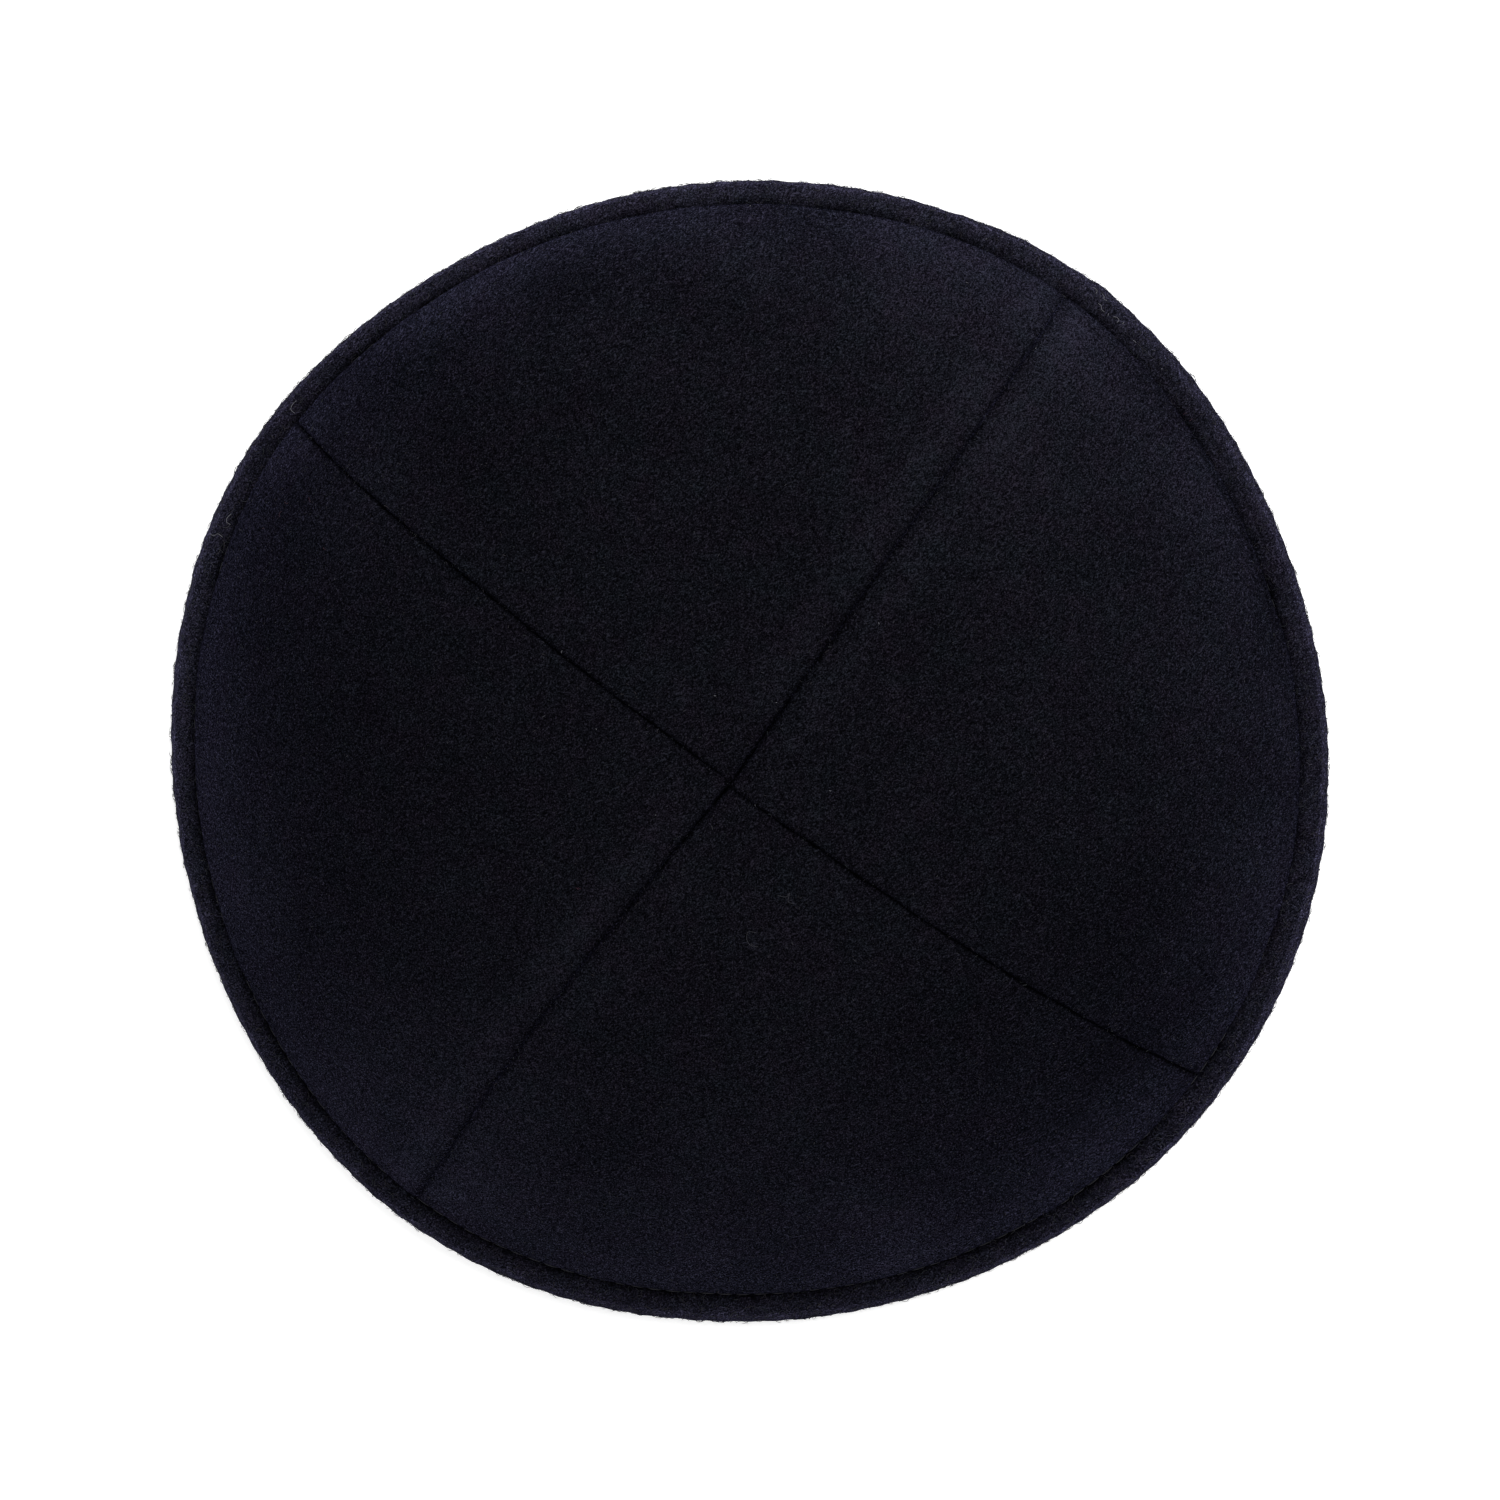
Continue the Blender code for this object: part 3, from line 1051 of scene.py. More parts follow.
@dataclass
class FeltPanel:
    """One of the four gores, with its seam edges turned back and doubled inside.

    The numbers in beside_seam and above_edge are the grid's columns beside each seam and its lowest rows,
    in millimetres from the seam and above the cut edge. Over the height of ease above the binding, the
    seams grow from rim_level of their full depth and the lumps from nothing. Near the crown, where the
    panel narrows, each of the shares holds a width to that part of what is left.
    """

    name: str
    node: str
    right: Seam
    left: Seam
    side: float
    form: CrownForm
    binding: "RimBinding"
    slip: CrownSlip = CrownSlip()
    band: RidgeHighlightBand = RidgeHighlightBand()
    groove: Groove = Groove()
    painted_wall_light: PaintedWallLight = PaintedWallLight()
    pleat: Pleat = Pleat(19.0, 13.0, 0.0021, 0.00040, depth=0.00018)
    overlap: float = 0.00003
    overlap_share: float = 0.3
    allowance: float = 0.0060
    allowance_share: float = 0.6
    allowance_end: float = 0.0072
    allowance_slack: float = 0.0001
    second_layer: float = 0.97
    inside_rounding: float = 0.6
    deepest_rounding: float = 0.0006
    first_share: float = 0.004
    lower_start: float = 0.0110
    upper_rows: int = 98
    field_columns: int = 88
    columns_share: float = 0.8
    ease: float = 0.004
    rim_level: float = 0.35
    rim_crease: float = 0.4
    rounding_share: float = 0.35
    fray: float = 0.45
    fray_size: float = 0.0016
    lump: float = 0.00007
    lump_size: float = 0.011
    lump_start: float = 0.0006
    tucked: float = 0.0004
    inside_openness: float = 0.9
    tip_painted_shade: float = 0.3
    beside_seam: Tuple[float, ...] = (
        0.0, 0.02, 0.06, 0.12, 0.20, 0.31, 0.45, 0.62, 0.83, 1.1, 1.5, 2.1, 3.0, 4.3, 5.6, 5.93, 6.0, 6.2,
        7.2,
    )
    above_edge: Tuple[float, ...] = (
        10.2, 9.4, 8.7, 8.1, 7.6, 7.2, 7.05, 6.8, 6.5, 6.25, 6.05, 5.85, 5.65, 5.45, 5.25, 5.05, 4.8, 4.4,
        3.6, 2.4, 1.2, 0.0,
    )
    outside: Array = field(init=False, repr=False)

    def _lay_out(self) -> Tuple[Array, Array, Array, Array]:
        """Lays out the panel's grid.

        Returns:
            The azimuths, distances up the wall, and distances from the right and the left seam.
        """
        upper = np.linspace(self.first_share, 1.0, self.upper_rows)
        low = np.array(self.above_edge) * MILLIMETRE
        shares_down = np.concatenate([upper, np.ones(len(low))])
        fixed = np.concatenate([np.full(len(upper), self.lower_start), low])

        def above(azimuth: Array) -> Array:
            """Distances above the cut edge in these directions, one row for each section."""
            length = self.form.wall_length(azimuth)
            down = shares_down[:, None] if azimuth.ndim == 2 else shares_down
            ends = fixed[:, None] if azimuth.ndim == 2 else fixed
            return length * (1 - down) + ends * down

        ends = []
        for seam in (self.right, self.left):
            straight = np.full(len(fixed), seam.straight)
            share = self.form.share_above(above(straight), straight)
            ends.append((seam.azimuth_at(share, self.form.rim_radius), share * self.form.rim_radius))
        (start, radius_right), (end, radius_left) = ends
        span = (end - start) % math.tau
        beside = np.array(self.beside_seam) * MILLIMETRE
        half = span / 2 * (radius_right + radius_left) / 2
        shrink = np.minimum(1.0, self.columns_share * half / beside[-1])[:, None]
        tuck = np.minimum(self.overlap, self.overlap_share * half)
        right = (beside * shrink - tuck[:, None]) / radius_right[:, None]
        left = span[:, None] - (beside * shrink - tuck[:, None])[:, ::-1] / radius_left[:, None]
        across = np.linspace(0, 1, self.field_columns + 2)[1:-1]
        middle = right[:, -1:] + (left[:, :1] - right[:, -1:]) * across
        turn = np.concatenate([right, middle, left], axis=1)
        azimuth = start[:, None] + turn
        distance = above(azimuth)
        radius = self.form.rim_radius * self.form.share_above(distance, azimuth)
        return azimuth, distance, turn * radius, (span[:, None] - turn) * radius

    def _beside_seams(
        self, above: Array, reach: Array, from_right: Array, from_left: Array
    ) -> Tuple[Array, Array, Array]:
        """Works out how the two seams sink the cloth beside them, and the light and shade painted beside
        them.

        Args:
            above: Distances up the wall from the binding's edge.
            reach: Distances from the crown.
            from_right: Distances from the right seam.
            from_left: Distances from the left seam.

        Returns:
            How far the outside is sunk, how far its edge is rounded off, and the painted shade and
            highlight beside the seams.
        """
        level = self.rim_level + (1 - self.rim_level) * clipped(above / self.ease)
        track = self.right.track(reach)
        frayed = 1 + self.fray * waver(track, self.fray_size)
        half = (from_right + from_left) / 2
        sunk, rounded, painted_shading = np.zeros_like(reach), np.zeros_like(reach), np.ones_like(reach)
        for seam, away, ridge_highlight in (
            (self.right, from_right, self.right.ridge_highlight[1]),
            (self.left, from_left, self.left.ridge_highlight[0]),
        ):
            rounding = np.minimum(seam.shape.rounding * level, self.rounding_share * half)
            sunk += seam.shape.sunk(np.clip(away, 0.0, None), rounding) * level
            rounded += np.where(away < rounding, rounding - away, 0.0)
            # Painted shade darkens the seam's crease, and a painted highlight band lightens the cloth
            # beside it.
            painted_crease_shade = seam.shape.painted_crease_shade(away, reach) * frayed
            painted_shading *= 1 - painted_crease_shade * (self.rim_crease + (1 - self.rim_crease) * level)
            painted_shading += self.band.lift(ridge_highlight, away, reach, track)
        return sunk, rounded, painted_shading

    def _inset(self, distance: Array, from_right: Array, from_left: Array, rounded: Array) -> Array:
        """How far the inner face lies behind the outer one, which is twice as far over an allowance.

        Args:
            distance: Distances up the wall from the cut edge.
            from_right: Distances from the right seam.
            from_left: Distances from the left seam.
            rounded: How far the outside is rounded off.

        Returns:
            The depths.
        """
        fold = np.minimum(self.allowance, self.allowance_share * ((from_right + from_left) / 2))
        lowest = self.allowance_end - self.allowance_slack
        doubled = (np.minimum(from_right, from_left) < fold) & (distance > lowest)
        layers = self.form.felt * (1 + self.second_layer * doubled)
        return layers - self.inside_rounding * np.minimum(rounded, self.deepest_rounding)

    def build(self) -> Object:
        """Builds the closed panel.

        Returns:
            The panel's object.
        """
        form = self.form
        azimuth, distance, from_right, from_left = self._lay_out()
        share = form.share_above(distance, azimuth)
        width, grip = self.binding.width(azimuth), self.binding.grip(azimuth)
        above = distance - width
        reach = share * form.rim_radius
        sunk, rounded, painted_shading = self._beside_seams(above, reach, from_right, from_left)
        plain = turned(azimuth, *form.section(share, azimuth, np.zeros_like(share)))
        lumpy = clipped((above - self.lump_start) / self.ease)
        pleated = self.pleat.nearness(azimuth, above)
        proud = waver(plain, self.lump_size) * self.lump * lumpy - sunk
        proud = proud - self.groove.dipped(above, azimuth, grip) + self.groove.swollen(above)
        proud = proud - self.pleat.depth * pleated
        under = distance < width - self.tucked
        proud[under] = np.minimum(proud[under], 0.0)
        outside = turned(azimuth, *form.section(share, azimuth, proud))
        # Painted shade in the groove and along the pleat, painted light and shade by side on the steep
        # wall, and patches of painted light and shade.
        painted_shading *= self.groove.openness(above, azimuth, grip)
        painted_shading *= self.painted_wall_light.openness(share, azimuth, plain)
        painted_shading *= 1 + sum(spot.lift(outside) for spot in LIGHT_AND_TONE_SPOTS)
        painted_shading *= 1 - self.pleat.shade * pleated
        inset = self._inset(distance, from_right, from_left, rounded)
        inside = turned(azimuth, *form.section(share, azimuth, -inset))
        self.outside = self.slip.moved(outside, self.side)
        return self._closed(self.outside, self.slip.moved(inside, self.side), painted_shading)

    def _closed(self, outside: Array, inside: Array, painted_shading: Array) -> Object:
        """Joins the two faces along the seams, at the rim and in a point at the crown.

        Args:
            outside: The outer grid of points.
            inside: The inner grid of points.
            painted_shading: The painted light and shade on the outside, with some random tone.

        Returns:
            The panel's object.
        """
        rows, columns = outside.shape[:2]
        count = rows * columns
        tip = np.array([[0, 0, outside[0, :, 2].mean()], [0, 0, inside[0, :, 2].mean()]])
        points = np.concatenate([outside.reshape(-1, 3), inside.reshape(-1, 3), tip])
        faces: List[Sequence[int]] = Maker.grid_faces(rows, columns)
        faces += [face[::-1] for face in Maker.grid_faces(rows, columns, count)]
        top, under = 2 * count, 2 * count + 1
        for k in range(columns - 1):
            faces.append((top, k + 1, k))
            faces.append((under, count + k, count + k + 1))
            last = (rows - 1) * columns + k
            faces.append((last, last + 1, count + last + 1, count + last))
        for column in (0, columns - 1):
            line = [row * columns + column for row in range(rows)]
            chain = [top, *line]
            inner = [under, *(count + k for k in line)]
            for a, b, c, d in zip(chain, chain[1:], inner[1:], inner):
                faces.append((a, b, c, d) if column else (d, c, b, a))
        under_nap = np.full(count, self.inside_openness)
        # The crown's tip, where the seams meet, gets a painted shade.
        tips = [self.tip_painted_shade, self.inside_openness]
        openness = np.concatenate([painted_shading.ravel(), under_nap, tips])
        return Maker.piece(self.name, points, faces, openness=openness)


# Rim binding


@dataclass(frozen=True)
class StripJoin:
    """The place where the strip's two ends are lapped, one over the other."""

    azimuth_deg: float = 44.4
    step: float = 0.00055
    slant: float = 0.25
    middle: float = 0.006
    rise: float = 0.00035
    falls: Tuple[Tuple[float, float], ...] = ((0.0016, 0.6), (0.010, 0.4))

    def height(self, azimuth: Array, across: Array, rim_radius: float) -> Array:
        """How far the lapped cloth stands out.

        Args:
            azimuth: The directions.
            across: How far across the cloth each column lies.
            rim_radius: The rim's radius.

        Returns:
            The heights.
        """
        lap = (azimuth - math.radians(self.azimuth_deg) + math.pi) % math.tau - math.pi
        lap = -lap[:, None] * rim_radius + self.slant * (across - self.middle)
        rise = 1 / (1 + np.exp(-lap / self.rise))
        past = np.clip(lap, 0, None)
        return self.step * rise * sum(np.exp(-past / length) * part for length, part in self.falls)


@dataclass(frozen=True)
class StripLightAndTone:
    """Painted light and shade on the strip, with patches of random tone.

    Painted shade darkens it beside the groove at its edge and on the fold, it is painted lighter on one
    side of the cap and darker around dark_deg, and a dark line is painted along a part of it where a fine
    crease would shade it.
    """

    edge_width: float = 0.0017
    edge_shade: float = 0.58
    edge_patchiness: float = 0.24
    fold_start: float = 0.0026
    fold_rise: float = 0.0018
    fold_shade: float = 0.42
    light_deg: float = 105.0
    lightness: float = 0.20
    dark_deg: float = 132.0
    dark_spread_deg: float = 17.0
    darkness: float = 0.36
    patchiness: float = 0.18
    patch_size: float = 0.0038
    crease: Pleat = Pleat(24.0, 13.0, 0.0022, 0.00030)
    crease_drift: float = 0.0004

    def openness(self, azimuth: Array, across: Array, points: Array, grip: Array) -> Array:
        """The painted light and shade at each point, with random tone, around 1.

        Args:
            azimuth: The directions, as one column.
            across: How far across the cloth each point lies.
            points: The points themselves.
            grip: How hard the stitches pull in each direction, as one column.

        Returns:
            The factors.
        """
        patchy = waver(points, self.patch_size, (5.0, 5.0, 0.0))
        # Painted light towards light_deg, painted shade around dark_deg and on the fold.
        painted_light_by_place = 1 + self.lightness * np.cos(azimuth - math.radians(self.light_deg))
        painted_light_by_place = painted_light_by_place * (1 - self.darkness * bell(degrees_from(azimuth, self.dark_deg), self.dark_spread_deg))
        painted_light_by_place = painted_light_by_place * (1 - self.fold_shade * clipped((across - self.fold_start) / self.fold_rise))
        # Painted shade beside the groove at the strip's edge.
        painted_crease_shade = 1 - (self.edge_shade - self.edge_patchiness * patchy) * grip
        rolled = clipped(across / self.edge_width)
        painted_shading = (painted_crease_shade + (1 - painted_crease_shade) * rolled * rolled * (3 - 2 * rolled)) * painted_light_by_place
        creased = self.crease.nearness(azimuth, across, self.crease_drift * patchy)
        return painted_shading * (1 + self.patchiness * patchy) * (1 - self.crease.shade * creased)


@dataclass
class RimBinding:
    """The folded strip that wraps the panels' cut edge.

    Each row in slack is a place where the strip's edge stands loose: its direction and spread in degrees,
    and how far the pull gives way. The stations hold the strip's width by direction, evenly spaced round
    the cap. The two tapers say how far the strip's uneven handling reaches its first and last columns.
    """

    form: CrownForm
    name: str = "binding_strip"
    node: str = "rim_binding"
    join: StripJoin = StripJoin()
    strip_light_and_tone: StripLightAndTone = StripLightAndTone()
    strip_width: float = 0.0053
    inside_width: float = 0.0050
    inside_gap: float = 0.00004
    cloth: float = 0.0017
    tuck: float = 0.00030
    rounding: float = 0.0009
    roll: float = 0.0027
    roll_power: float = 1.45
    puff: float = 0.00025
    sections: int = 960
    face_steps: int = 5
    fold_steps: int = 12
    edge_steps: int = 6
    roll_steps: int = 11
    pucker_pitch: float = 0.0042
    pucker: float = 0.00006
    pucker_slant: float = 0.45
    pucker_drift: float = 5.0
    pucker_drift_size: float = 0.03
    lump: float = 0.00010
    lump_size: float = 0.0042
    swell: float = 0.0001
    swell_size: float = 0.012
    track_radius: float = 0.0854
    wobble: float = 0.00016
    wobble_length: float = 0.006
    nick: float = 0.00010
    nick_length: float = 0.0021
    pull: float = 0.9
    pull_swing: float = 0.7
    pull_length: float = 0.0075
    pull_range: Tuple[float, float] = (0.45, 1.25)
    first_taper: Tuple[float, ...] = (0.0, 0.5)
    last_taper: Tuple[float, ...] = (0.5, 0.2, 0.0, 0.0, 0.0, 0.0)
    slack: Tuple[Tuple[float, float, float], ...] = ((138.0, 5.0, 0.75), (34.5, 4.5, 0.62))
    stations: Tuple[float, ...] = (
        0.993, 1.193, 1.308, 1.125, 1.030, 1.182, 1.308, 1.147, 1.201, 1.320, 1.320, 1.134, 1.003, 0.994,
        0.994, 1.053, 1.147, 1.171, 1.114, 0.980, 0.879, 1.064, 1.168, 1.055,
    )
    outside: Array = field(init=False, repr=False)

    def _track(self, azimuth: Array) -> Array:
        """Points of the rim's own random patterns in these directions."""
        return turned(azimuth, self.track_radius, np.zeros_like(azimuth))

    def width(self, azimuth: Array) -> Array:
        """Width of the strip that shows outside, up the wall from the cut edge, in each direction."""
        table = np.array(self.stations)
        place = (azimuth % math.tau) / (math.tau / len(table))
        here = np.floor(place).astype(int) % len(table)
        eased = (1 - np.cos(math.pi * (place - np.floor(place)))) / 2
        shares = table[here] + (table[(here + 1) % len(table)] - table[here]) * eased
        track = self._track(azimuth)
        wobble = waver(track, self.wobble_length, (3.0, 0.0, 1.0)) * self.wobble
        nicks = waver(track, self.nick_length, (0.0, 4.0, 1.0)) * self.nick
        return self.strip_width * shares + (wobble + nicks)

    def grip(self, azimuth: Array) -> Array:
        """How hard the stitches pull the strip's edge in, in each direction, around 1."""
        swing = waver(self._track(azimuth), self.pull_length, (2.0, 6.0, 3.0))
        held = np.clip(self.pull + self.pull_swing * swing, *self.pull_range)
        for middle, spread, amount in self.slack:
            held = held * (1 - amount * bell(degrees_from(azimuth, middle), spread))
        return held

    def _section(self, azimuth: Array) -> Tuple[Array, Array, Array, int]:
        """Points of the folded section in every direction.

        Args:
            azimuth: The directions.

        Returns:
            Radii, heights, how far across the cloth each column lies, and how many columns show outside.
        """
        form, width = self.form, self.width(azimuth)
        radii: List[Array] = []
        heights: List[Array] = []

        def up_wall(distance: Union[float, Array], proud: float) -> None:
            """Adds a column at this distance up the wall and this far proud of it."""
            share = form.share_above(distance, azimuth)
            radius, height = form.section(share, azimuth, np.full_like(azimuth, proud))
            radii.append(radius)
            heights.append(height)

        for k in range(self.roll_steps + 1):
            along = 1 - math.cos(math.pi / 2 * k / self.roll_steps)
            climb = (1 - (1 - along) ** self.roll_power) ** (1 / self.roll_power)
            plump = self.puff * along**2
            up_wall(width - self.roll * along, -self.tuck + (self.cloth + self.tuck) * climb + plump)
        for k in range(1, self.face_steps):
            along = k / self.face_steps
            plump = self.puff * math.cos(math.pi / 2 * along) ** 2
            up_wall((width - self.roll) * (1 - along), self.cloth + plump)
        outward, upward = form.normal(np.ones_like(azimuth), azimuth)
        middle, level = form.section(np.ones_like(azimuth), azimuth, np.full_like(azimuth, -form.felt / 2))
        for k in range(self.fold_steps + 1):
            turn = math.pi * k / self.fold_steps
            radii.append(middle + form.fold_radius * (outward * math.cos(turn) + upward * math.sin(turn)))
            heights.append(level + form.fold_radius * (upward * math.cos(turn) - outward * math.sin(turn)))
        shown = len(radii) - self.fold_steps // 2
        near = -form.felt
        for k in range(1, self.face_steps // 2):
            along = k / (self.face_steps // 2)
            up_wall((self.inside_width - self.rounding) * along, near - self.cloth)
        for k in range(self.edge_steps + 1):
            turn = math.pi / 2 * (1 - k / self.edge_steps)
            reach = self.rounding * (1 - math.cos(turn))
            up_wall(self.inside_width - reach, near - self.cloth * math.sin(turn) - self.inside_gap)
        up_wall(self.inside_width / 2, near - self.inside_gap)
        up_wall(0.0, near - self.inside_gap)
        up_wall(0.0, self.inside_gap)
        up_wall(width / 2, self.inside_gap)
        radius, height = np.stack(radii, 1), np.stack(heights, 1)
        steps = np.hypot(np.diff(radius, axis=1), np.diff(height, axis=1))
        across = np.concatenate([np.zeros((len(azimuth), 1)), np.cumsum(steps, axis=1)], axis=1)
        return radius, height, across, shown

    def _unevenness(self, azimuth: Array, across: Array, points: Array) -> Array:
        """How far the cloth stands out from its even section, from its handling and sewing.

        Args:
            azimuth: The directions.
            across: How far across the cloth each column lies.
            points: The even section's points.

        Returns:
            The heights.
        """
        run = azimuth[:, None] * self.form.rim_radius + self.pucker_slant * across
        roping = waver(points, self.lump_size, (7.0, 1.0, 0.0))
        broad = waver(points, self.swell_size, (1.0, 5.0, 2.0))
        drift = self.pucker_drift * waver(points, self.pucker_drift_size, (2.0, 2.0, 2.0))
        puckers = np.sin(math.tau * run / self.pucker_pitch + drift)
        join = self.join.height(azimuth, across, self.form.rim_radius)
        return roping * self.lump + broad * self.swell + puckers * self.pucker + join

    def build(self) -> Object:
        """Builds the closed ring of folded cloth.

        Returns:
            The strip's object.
        """
        azimuth = np.linspace(0, math.tau, self.sections, endpoint=False)
        radius, height, across, shown = self._section(azimuth)
        points = turned(azimuth[:, None], radius, height)
        along = np.roll(points, -1, axis=0) - np.roll(points, 1, axis=0)
        down = np.roll(points, -1, axis=1) - np.roll(points, 1, axis=1)
        normal = np.cross(along, down)
        normal /= np.linalg.norm(normal, axis=-1, keepdims=True)
        centre = points.mean(axis=1, keepdims=True)
        normal *= np.sign((normal * (points - centre)).sum(axis=(1, 2), keepdims=True))
        columns = radius.shape[1]
        taper = np.ones(columns)
        taper[: len(self.first_taper)] = self.first_taper
        taper[-len(self.last_taper) :] = self.last_taper
        points += normal * (self._unevenness(azimuth, across, points) * taper)[..., None]
        points[..., 2] = np.maximum(points[..., 2], 0.0)
        self.outside = np.concatenate([points[:, :shown], points[:1, :shown]])
        ring = np.arange(self.sections * columns).reshape(self.sections, columns)
        after, below = np.roll(ring, -1, axis=0), np.roll(ring, -1, axis=1)
        faces = np.stack([ring, after, np.roll(after, -1, axis=1), below], -1).reshape(-1, 4)
        grip = self.grip(azimuth)[:, None]
        # The strip's painted light and shade, with random tone.
        openness = self.strip_light_and_tone.openness(azimuth[:, None], across, points, grip)
        return Maker.piece(self.name, points.reshape(-1, 3), faces.tolist(), openness=openness)


# Nap


@dataclass
class Nap:
    """Loose fibres that lie on the felt, each a bent spindle."""

    name: str
    finish: StrandFinish
    density: float
    length: float
    thickness: float
    lift: float
    seed: int
    tip: ClassVar[float] = 0.15
    roll_range: ClassVar[Tuple[float, float]] = (-0.25, 0.25)
    lengths: ClassVar[Tuple[float, float]] = (0.45, 1.5)
    curls: ClassVar[Tuple[float, float]] = (0.15, 1.3)

    @classmethod
    def tree(cls) -> Tree:
        """Builds the tree that strews fibres over a surface.

        Returns:
            The tree.
        """
        made = GeometryBuilder(
            "strewn fibres",
            {
                "Density": "NodeSocketFloat",
                "Length": "NodeSocketFloat",
                "Thickness": "NodeSocketFloat",
                "Lift": "NodeSocketFloat",
                "Seed": "NodeSocketInt",
                "Material": "NodeSocketMaterial",
            },
        )
        strewn = made.node(
            "GeometryNodeDistributePointsOnFaces",
            {"distribute_method": "RANDOM"},
            {"Mesh": made.given("Geometry"), "Density": made.given("Density"), "Seed": made.given("Seed")},
        )
        bent = made.bow((-0.5, 0, 0), (0.05, 0.45, 0.3), (0.5, 0, 0.04), steps=2)
        along = made.value(made.node("GeometryNodeSplineParameter"), "Factor")
        spindle = (along * math.pi).math("SINE") * (1 - cls.tip) + cls.tip
        tapered = made.node("GeometryNodeSetCurveRadius", None, {"Curve": bent, "Radius": spindle})
        slim = made.number("Thickness") / made.number("Length")
        fibre = made.thickened(made.output(tapered), slim, sides=3)
        lift = made.number("Lift")
        low = made.vector(cls.roll_range[0], lift * -1.0, -math.pi)
        high = made.vector(cls.roll_range[1], lift * 0.5, math.pi)
        angles = made.random("FLOAT_VECTOR", low, high, seed=11)
        lean = made.node("FunctionNodeEulerToRotation", None, {"Euler": angles})
        facing = made.node(
            "FunctionNodeRotateRotation",
            {"rotation_space": "LOCAL"},
            {"Rotation": made.output(strewn, "Rotation"), "Rotate By": made.output(lean)},
        )
        length = Value(made, made.random("FLOAT", *cls.lengths, seed=5)) * made.number("Length")
        curl = Value(made, made.random("FLOAT", *cls.curls, seed=6))
        placed = made.node(
            "GeometryNodeInstanceOnPoints",
            None,
            {
                "Points": made.output(strewn, "Points"),
                "Instance": fibre,
                "Rotation": made.output(facing),
                "Scale": made.vector(length, length * curl, length),
            },
        )
        return made.finish(made.output(placed))

    def build(self, grids: Sequence[Array], tree: Tree) -> Object:
        """Strews the fibres.

        Args:
            grids: Grids of points, each a surface that carries nap.
            tree: The tree that strews them.

        Returns:
            The fibres as one object.
        """
        faces: List[Sequence[int]] = []
        start = 0
        for grid in grids:
            faces += Maker.grid_faces(*grid.shape[:2], start)
            start += grid.shape[0] * grid.shape[1]
        points = np.concatenate([grid.reshape(-1, 3) for grid in grids])
        ground = Maker.piece(self.name + "_ground", points, faces, closed=False)
        inputs = {
            "Density": self.density,
            "Length": self.length,
            "Thickness": self.thickness,
            "Lift": self.lift,
            "Seed": self.seed,
            "Material": self.finish.material(),
        }
        return self._on_table(Maker.grown(ground, self.name, tree, inputs))

    @staticmethod
    def _on_table(fibres: Object) -> Object:
        """Presses the fibres that reach below the table up onto it."""
        places = np.empty(len(fibres.data.vertices) * 3, np.float32)
        fibres.data.vertices.foreach_get("co", places)
        places = places.reshape(-1, 3)
        places[:, 2] = np.maximum(places[:, 2], TABLE_GAP)
        fibres.data.vertices.foreach_set("co", places.ravel())
        return fibres


@dataclass(frozen=True)
class NapShade:
    """One dyed shade of the nap's loose fibres, with its fibres to a square metre and fixed seeds."""

    name: str
    colour: Colour
    density: float
    seed: int
    rim_seed: int


NAP_SHADES: Tuple[NapShade, ...] = (
    NapShade("teal", (0.0052, 0.0074, 0.0100), 0.30e6, seed=21, rim_seed=31),
    NapShade("violet", (0.0080, 0.0058, 0.0100), 0.30e6, seed=22, rim_seed=32),
    NapShade("pale", (0.0190, 0.0186, 0.0262), 0.08e6, seed=23, rim_seed=33),
)


# Lint


@dataclass(frozen=True)
class LooseStrand:
    """One strand that lies on the cap, by points seen from above, in millimetres."""

    points: Tuple[Tuple[float, float], ...]


